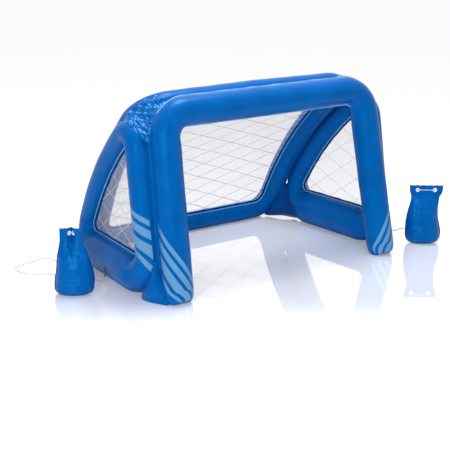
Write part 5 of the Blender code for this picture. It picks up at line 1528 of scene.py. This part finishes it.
class GOAL_OT_chambers(bpy.types.Operator):
    """Make the four air chambers: front arch, rear ring and both side rings"""
    bl_idname = "goal.chambers"
    bl_label = "Make Chambers"

    def execute(self, context):
        lines, finishes = context_of(context)
        up = unit(lines.corner - lines.foot)
        front = -unit(np.cross([1.0, 0, 0], [0, up[1], up[2]]))
        arch, arch_sizes = arch_path(lines)
        arch_normals = np.tile(front, (len(arch), 1))
        dress(chamber("air_chamber_front", arch, arch_sizes, arch_normals, False, 1.0, finishes.arch,
                      folds=0.45),
              "front_arch")
        rear, rear_sizes = rear_path(lines)
        window = rear_window(lines, (rear, rear_sizes))
        rear_normals = units(window.place(window.flat, 0.01) - window.place(window.flat, 0.0))
        dress(chamber("air_chamber_rear", rear, rear_sizes, rear_normals, True, 2.0, finishes.blue),
              "rear_ring")
        side, sizes = side_path(lines)
        for label, flip, seed in (("left", mirrored, 3.0), ("right", np.array, 4.0)):
            points, normals = flip(side), np.tile(flip(lines.side_normal), (len(side), 1))
            dress(chamber(f"air_chamber_{label}", points, sizes, normals, True, seed, finishes.ring,
                          SIDE_MAP_START),
                  f"side_ring_{label}")
            dress(flange(f"seam_{label}", points, sizes, normals, True, -1, SEAM_REACH, seed, finishes.blue))
        # Above BEAM_SEAM_FROM the arch's seams take the light seam vinyl: painted highlight; below, plain
        # blue.
        high = np.flatnonzero(arch[:, 2] > BEAM_SEAM_FROM)
        top = slice(high[0], high[-1])
        left, right = slice(SOLE_TRIM, high[0] + 1), slice(high[-1] - 1, len(arch) - SOLE_TRIM)
        for trim, hand, word, reach, finish in ((top, -1, "top", BEAM_SEAM_REACH, finishes.seam),
                                                (left, -1, "left", LEG_SEAM_REACH, finishes.blue),
                                                (right, -1, "right", LEG_SEAM_REACH, finishes.blue),
                                                (left, 1, "inner_left", LEG_SEAM_REACH, finishes.blue),
                                                (right, 1, "inner_right", LEG_SEAM_REACH, finishes.blue),
                                                (top, 1, "inner_top", BEAM_INNER_SEAM_REACH, finishes.seam)):
            dress(flange(f"seam_front_{word}", arch[trim], arch_sizes[trim], arch_normals[trim], False, hand,
                         reach, 5.0 + hand, finish))
        dress(flange("seam_rear", rear, rear_sizes, rear_normals, True, -1, SEAM_REACH, 7.0, finishes.blue))
        return {"FINISHED"}


class GOAL_OT_webs(bpy.types.Operator):
    """Make the gathered gussets, the webs at the feet and beside the legs, and the webs at the rear,
    coloured dark as painted shade
    """
    bl_idname = "goal.webs"
    bl_label = "Make Webs"

    def execute(self, context):
        lines, finishes = context_of(context)
        objects = bpy.data.objects
        apex = (lines.slant(0.86)[0] + lines.rear_side(0.16)[0]) / 2
        inner = np.array([lines.rear_side(0)[0][0] - 0.03, lines.rear_bottom(1)[0][1] - 0.02,
                          REAR_WEB_FLOOR])
        outer = np.array([lines.rear[0], lines.rear[1] - 0.09, REAR_WEB_FLOOR])
        rear = [apex, (apex + inner) / 2, inner, (inner + outer) / 2, outer, (outer + apex) / 2]
        for label, sign, seed in (("left", -1, 2.0), ("right", 1, 3.3)):
            flip = np.array([sign, 1.0, 1.0])
            around = [objects[f"air_chamber_{which}"] for which in ("front", "rear", label)]
            dress(bridging_sheet(f"gathered_gusset_{label}", around, GUSSET * flip, GUSSET_FACING * flip,
                                 GUSSET_FOLDS, seed, finishes.crinkled), f"corner_gusset_{label}")
            dress(bridging_sheet(f"foot_web_{label}", around, FOOT_WEB * flip, FOOT_WEB_FACING * flip,
                                 FOOT_WEB_FOLDS, seed + 1, finishes.blue, FOOT_WEB_CALM, FOOT_WEB_SWELL))
            dress(crease_web(f"crease_web_{label}", lines, sign, seed, finishes.blue))
            # The rear webs take the dark blue vinyl: painted shade.
            dress(bridging_sheet(f"painted_shade_web_{label}", around, rear * flip, REAR_WEB_FACING * flip,
                                 REAR_WEB_FOLDS, seed + 2, finishes.deep),
                  f"rear_web_{label}", slot="deep_blue_vinyl")
        return {"FINISHED"}


def windows_of(lines):
    """The rear window and both side windows, each with its edge and net centre."""
    side = side_path(lines)
    found = [rear_window(lines, rear_path(lines)), side_window(lines, side, -1), side_window(lines, side, 1)]
    for window in found:
        window.polar = polar(window, -FILM_TUCK)
        window.net_centre = offset_outline(window.flat, window.sizes, NET_CENTRE_INSET).mean(axis=0)
    return found


class GOAL_OT_windows(bpy.types.Operator):
    """Make the clear films, their welded borders and the printed net"""
    bl_idname = "goal.windows"
    bl_label = "Make Windows"

    def execute(self, context):
        lines, finishes = context_of(context)
        width = context.scene.goal_sizes.net_line
        for window in windows_of(lines):
            film = film_sheet(window, finishes.film)
            if window.label == "rear":
                nodes, print_turn = ("rear_film", "rear_net"), 0.0
                pitch, slope = REAR_NET_PITCH, REAR_NET_SLOPE
            else:
                nodes, print_turn = (f"side_film_{window.label}", f"side_net_{window.label}"), SIDE_NET_TURN
                pitch, slope = SIDE_NET_PITCH, SIDE_NET_SLOPE
            dress(film, nodes[0], slot="clear_film")
            net = net_lines(window, pitch, slope, print_turn, width, finishes.print)
            dress(net, nodes[1], slot="white_print")
            # The welded border takes the dark blue vinyl: painted shade.
            dress(shaded_weld_band(window, finishes.deep), slot="deep_blue_vinyl")
            # The bead takes the light seam vinyl: painted highlight.
            dress(highlit_weld_bead(window, finishes.seam))
        return {"FINISHED"}


class GOAL_OT_bags(bpy.types.Operator):
    """Make the two weight bags and their eyelets"""
    bl_idname = "goal.bags"
    bl_label = "Make Weight Bags"

    def execute(self, context):
        _, finishes = context_of(context)
        for label, rows, folds in (("left", LEFT_BAG_ROWS, LEFT_FOLDS),
                                   ("right", RIGHT_BAG_ROWS, RIGHT_FOLDS)):
            place = bag_place(label)
            bag = bag_mesh(label, rows, folds, finishes.bag)
            for end, (centre, normal) in zip("ab", bag_eyes(label)):
                axis = put(centre + normal, place) - put(centre, place)
                bored(bag, put(centre, place), axis, BAG_EYELET[1] + GAP, 0.008)
                dress(eyelet(f"hem_eyelet_{label}_{end}", put(centre, place), axis, BAG_EYELET,
                             HEM_THICKNESS, finishes.eyelet),
                      f"bag_eyelet_{label}_{end}", slot="eyelet_plastic", body=f"{label}_bag")
            dress(bag, f"bag_{label}", slot="bag_vinyl", body=f"{label}_bag")
        return {"FINISHED"}


class GOAL_OT_ties(bpy.types.Operator):
    """Make the tabs, their eyelets, the cords and their knots"""
    bl_idname = "goal.ties"
    bl_label = "Make Tabs and Cords"

    def execute(self, context):
        lines, finishes = context_of(context)
        for label, sign in (("left", -1), ("right", 1)):
            place = tab_place(lines, sign)
            tab, eye = make_tab(label, place, finishes.black)
            dress(tab, f"tie_tab_{label}", slot="black_vinyl")
            dress(eyelet(f"tab_ring_{label}", eye, place[0][2], TAB_EYELET, TAB_THICKNESS, finishes.grey),
                  f"tab_eyelet_{label}", slot="eyelet_plastic")
            top = -(TAB_EYELET[0] * math.cos(math.pi / 12) - CORD_DIAMETER / 2 - 2 * GAP)
            turns = full_turn(64)
            loop = np.stack([np.zeros(64), top - LOOP_RADIUS + LOOP_RADIUS * np.cos(turns),
                             LOOP_RADIUS * np.sin(turns)], axis=1)
            loop = cord_tube("loop", loop @ place[0] + eye, CORD_DIAMETER / 2, CORD_AROUND, True,
                             finishes.cord)
            knot = np.array([0, top - 2 * LOOP_RADIUS - TAB_KNOT_RADIUS * 0.6, 0]) @ place[0] + eye
            tied = knot_shape("knot", knot, place[0][0], TAB_KNOT_RADIUS * 1.1, finishes.cord)
            dress(joined(f"tab_loop_{label}", [loop, tied], finishes.cord), f"tab_knot_{label}",
                  slot="white_cord")
            line, ball, axis = cord_path(label, knot)
            stopper = knot_shape(f"stopper_knot_{label}", ball, axis, KNOT_RADIUS, finishes.cord)
            dress(stopper, f"bag_knot_{label}", slot="white_cord", body=f"{label}_bag")
            path = respaced(line, CORD_STEP)
            cord = cord_tube(f"tie_cord_{label}", path, CORD_DIAMETER / 2, CORD_AROUND, False,
                             finishes.cord)
            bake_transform(cord)
            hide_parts(f"cord_{label}")
        return {"FINISHED"}


class GOAL_OT_valves(bpy.types.Operator):
    """Finish the valves of the four chambers"""
    bl_idname = "goal.valves"
    bl_label = "Finish Valves"

    def execute(self, context):
        _, finishes = context_of(context)
        for name, made in frame["nodes"].items():
            if name.startswith("valve_"):
                made.data.materials.clear()
                made.data.materials.append(finishes.valve)
        return {"FINISHED"}


class GOAL_OT_stage(bpy.types.Operator):
    """Make the floor, the lights and the camera"""
    bl_idname = "goal.stage"
    bl_label = "Make Stage"

    def execute(self, context):
        scene = context.scene
        make_floor()
        make_lights()
        data = bpy.data.cameras.new("camera")
        data.lens = CAMERA_LENS
        data.sensor_width = 36.0
        camera = bpy.data.objects.new("camera", data)
        scene.collection.objects.link(camera)
        camera.matrix_world = (Matrix.Translation(CAMERA_PLACE) @ Matrix.Rotation(-CAMERA_AZIMUTH, 4, "Z")
                               @ Matrix.Rotation(math.pi / 2 - CAMERA_DIP, 4, "X")
                               @ Matrix.Rotation(CAMERA_ROLL, 4, "Z"))
        scene.camera = camera
        scene.view_settings.view_transform = "Standard"
        return {"FINISHED"}


def make_floor():
    """A wide white floor that mirrors the goal near its feet and is matt further in front of it."""
    ends = (-FLOOR_REACH, FLOOR_REACH)
    grid = np.array([[(x, y, 0.0) for x in ends] for y in ends])
    shader = Shader("white polished floor", (0.96, 0.96, 0.97), 0.5)
    floor = surface("floor", grid, (False, False), None, shader.material, sealed=False)
    matte = shader.node("ShaderNodeBsdfDiffuse")
    matte.inputs["Color"].default_value = (0.97, 0.97, 0.98, 1.0)
    shown = shader.node("ShaderNodeEmission")
    shown.inputs["Color"].default_value = (1.0, 1.0, 1.0, 1.0)
    path = shader.node("ShaderNodeLightPath")
    shader.link(shader.math("MULTIPLY", path.outputs["Is Camera Ray"], FLOOR_GLOW), shown.inputs["Strength"])
    lifted = shader.node("ShaderNodeAddShader")
    shader.link(matte.outputs[0], lifted.inputs[0])
    shader.link(shown.outputs[0], lifted.inputs[1])
    polished = shader.node("ShaderNodeBsdfGlossy")
    polished.inputs["Color"].default_value = (0.98, 0.98, 1.0, 1.0)
    polished.inputs["Roughness"].default_value = 0.03
    x, y = shader.split(shader.place())
    ahead = shader.math("ADD", shader.math("MULTIPLY", x, FLOOR_VIEW[0]),
                        shader.math("MULTIPLY", y, FLOOR_VIEW[1]))
    share = shader.between(ahead, *FLOOR_MIRROR_SPAN, FLOOR_MIRROR, "SMOOTHSTEP")
    both = shader.node("ShaderNodeMixShader")
    shader.link(share, both.inputs[0])
    shader.link(lifted.outputs[0], both.inputs[1])
    shader.link(polished.outputs[0], both.inputs[2])
    shader.link(both.outputs[0], shader.tree.nodes["Material Output"].inputs["Surface"])


def area_lamp(name, place, aim_height, power, size):
    """A square lamp at a place, turned towards a point above the goal's middle."""
    lamp = bpy.data.lights.new(name, "AREA")
    lamp.energy = power
    lamp.size = size
    made = bpy.data.objects.new(name, lamp)
    bpy.context.scene.collection.objects.link(made)
    made.location = place
    made.rotation_euler = (Vector((0, 0, aim_height)) - Vector(place)).to_track_quat("-Z", "Y").to_euler()


def make_lights():
    """A white world that lights more softly than it shows, a lamp overhead and two in front."""
    world = bpy.data.worlds.new("studio")
    bpy.context.scene.world = world
    world.use_nodes = True
    tree = world.node_tree
    back = tree.nodes["Background"]
    back.inputs["Color"].default_value = (1.0, 1.0, 1.0, 1.0)
    path = tree.nodes.new("ShaderNodeLightPath")
    direct = tree.nodes.new("ShaderNodeMath")
    direct.operation = "MAXIMUM"
    strength = tree.nodes.new("ShaderNodeMath")
    strength.operation = "MULTIPLY_ADD"
    strength.inputs[1].default_value = 1 - WORLD_SOFTNESS
    strength.inputs[2].default_value = WORLD_SOFTNESS
    tree.links.new(path.outputs["Is Camera Ray"], direct.inputs[0])
    tree.links.new(path.outputs["Is Glossy Ray"], direct.inputs[1])
    tree.links.new(direct.outputs[0], strength.inputs[0])
    tree.links.new(strength.outputs[0], back.inputs["Strength"])
    for lamp in LAMPS:
        area_lamp(*lamp)


class GOAL_PT_panel(bpy.types.Panel):
    """Sizes, colours and steps of the goal"""
    bl_idname = "GOAL_PT_panel"
    bl_label = "Inflatable Goal"
    bl_space_type = "VIEW_3D"
    bl_region_type = "UI"
    bl_category = "Goal"

    def draw(self, context):
        layout = self.layout
        for group in (context.scene.goal_sizes, context.scene.goal_colours):
            box = layout.box()
            for name in group.__annotations__:
                box.prop(group, name)
        for step in STEPS:
            layout.operator(step.bl_idname)


STEPS = (GOAL_OT_stage, GOAL_OT_chambers, GOAL_OT_webs, GOAL_OT_windows, GOAL_OT_bags, GOAL_OT_ties,
         GOAL_OT_valves)
CLASSES = (GoalSizes, GoalColours, *STEPS, GOAL_PT_panel)
SHARED = {}


def context_of(context):
    """The goal's centre lines and its finishes, made once."""
    if not SHARED:
        SHARED["lines"] = lay_out()
        SHARED["finishes"] = make_finishes()
    return SHARED["lines"], SHARED["finishes"]


def register():
    for cls in CLASSES:
        bpy.utils.register_class(cls)
    bpy.types.Scene.goal_sizes = PointerProperty(type=GoalSizes)
    bpy.types.Scene.goal_colours = PointerProperty(type=GoalColours)


def unregister():
    del bpy.types.Scene.goal_colours
    del bpy.types.Scene.goal_sizes
    for cls in reversed(CLASSES):
        bpy.utils.unregister_class(cls)


def main():
    register()
    bpy.ops.goal.stage()
    bpy.ops.goal.chambers()
    bpy.ops.goal.webs()
    bpy.ops.goal.windows()
    bpy.ops.goal.bags()
    bpy.ops.goal.ties()
    bpy.ops.goal.valves()


if __name__ == "__main__":
    main()
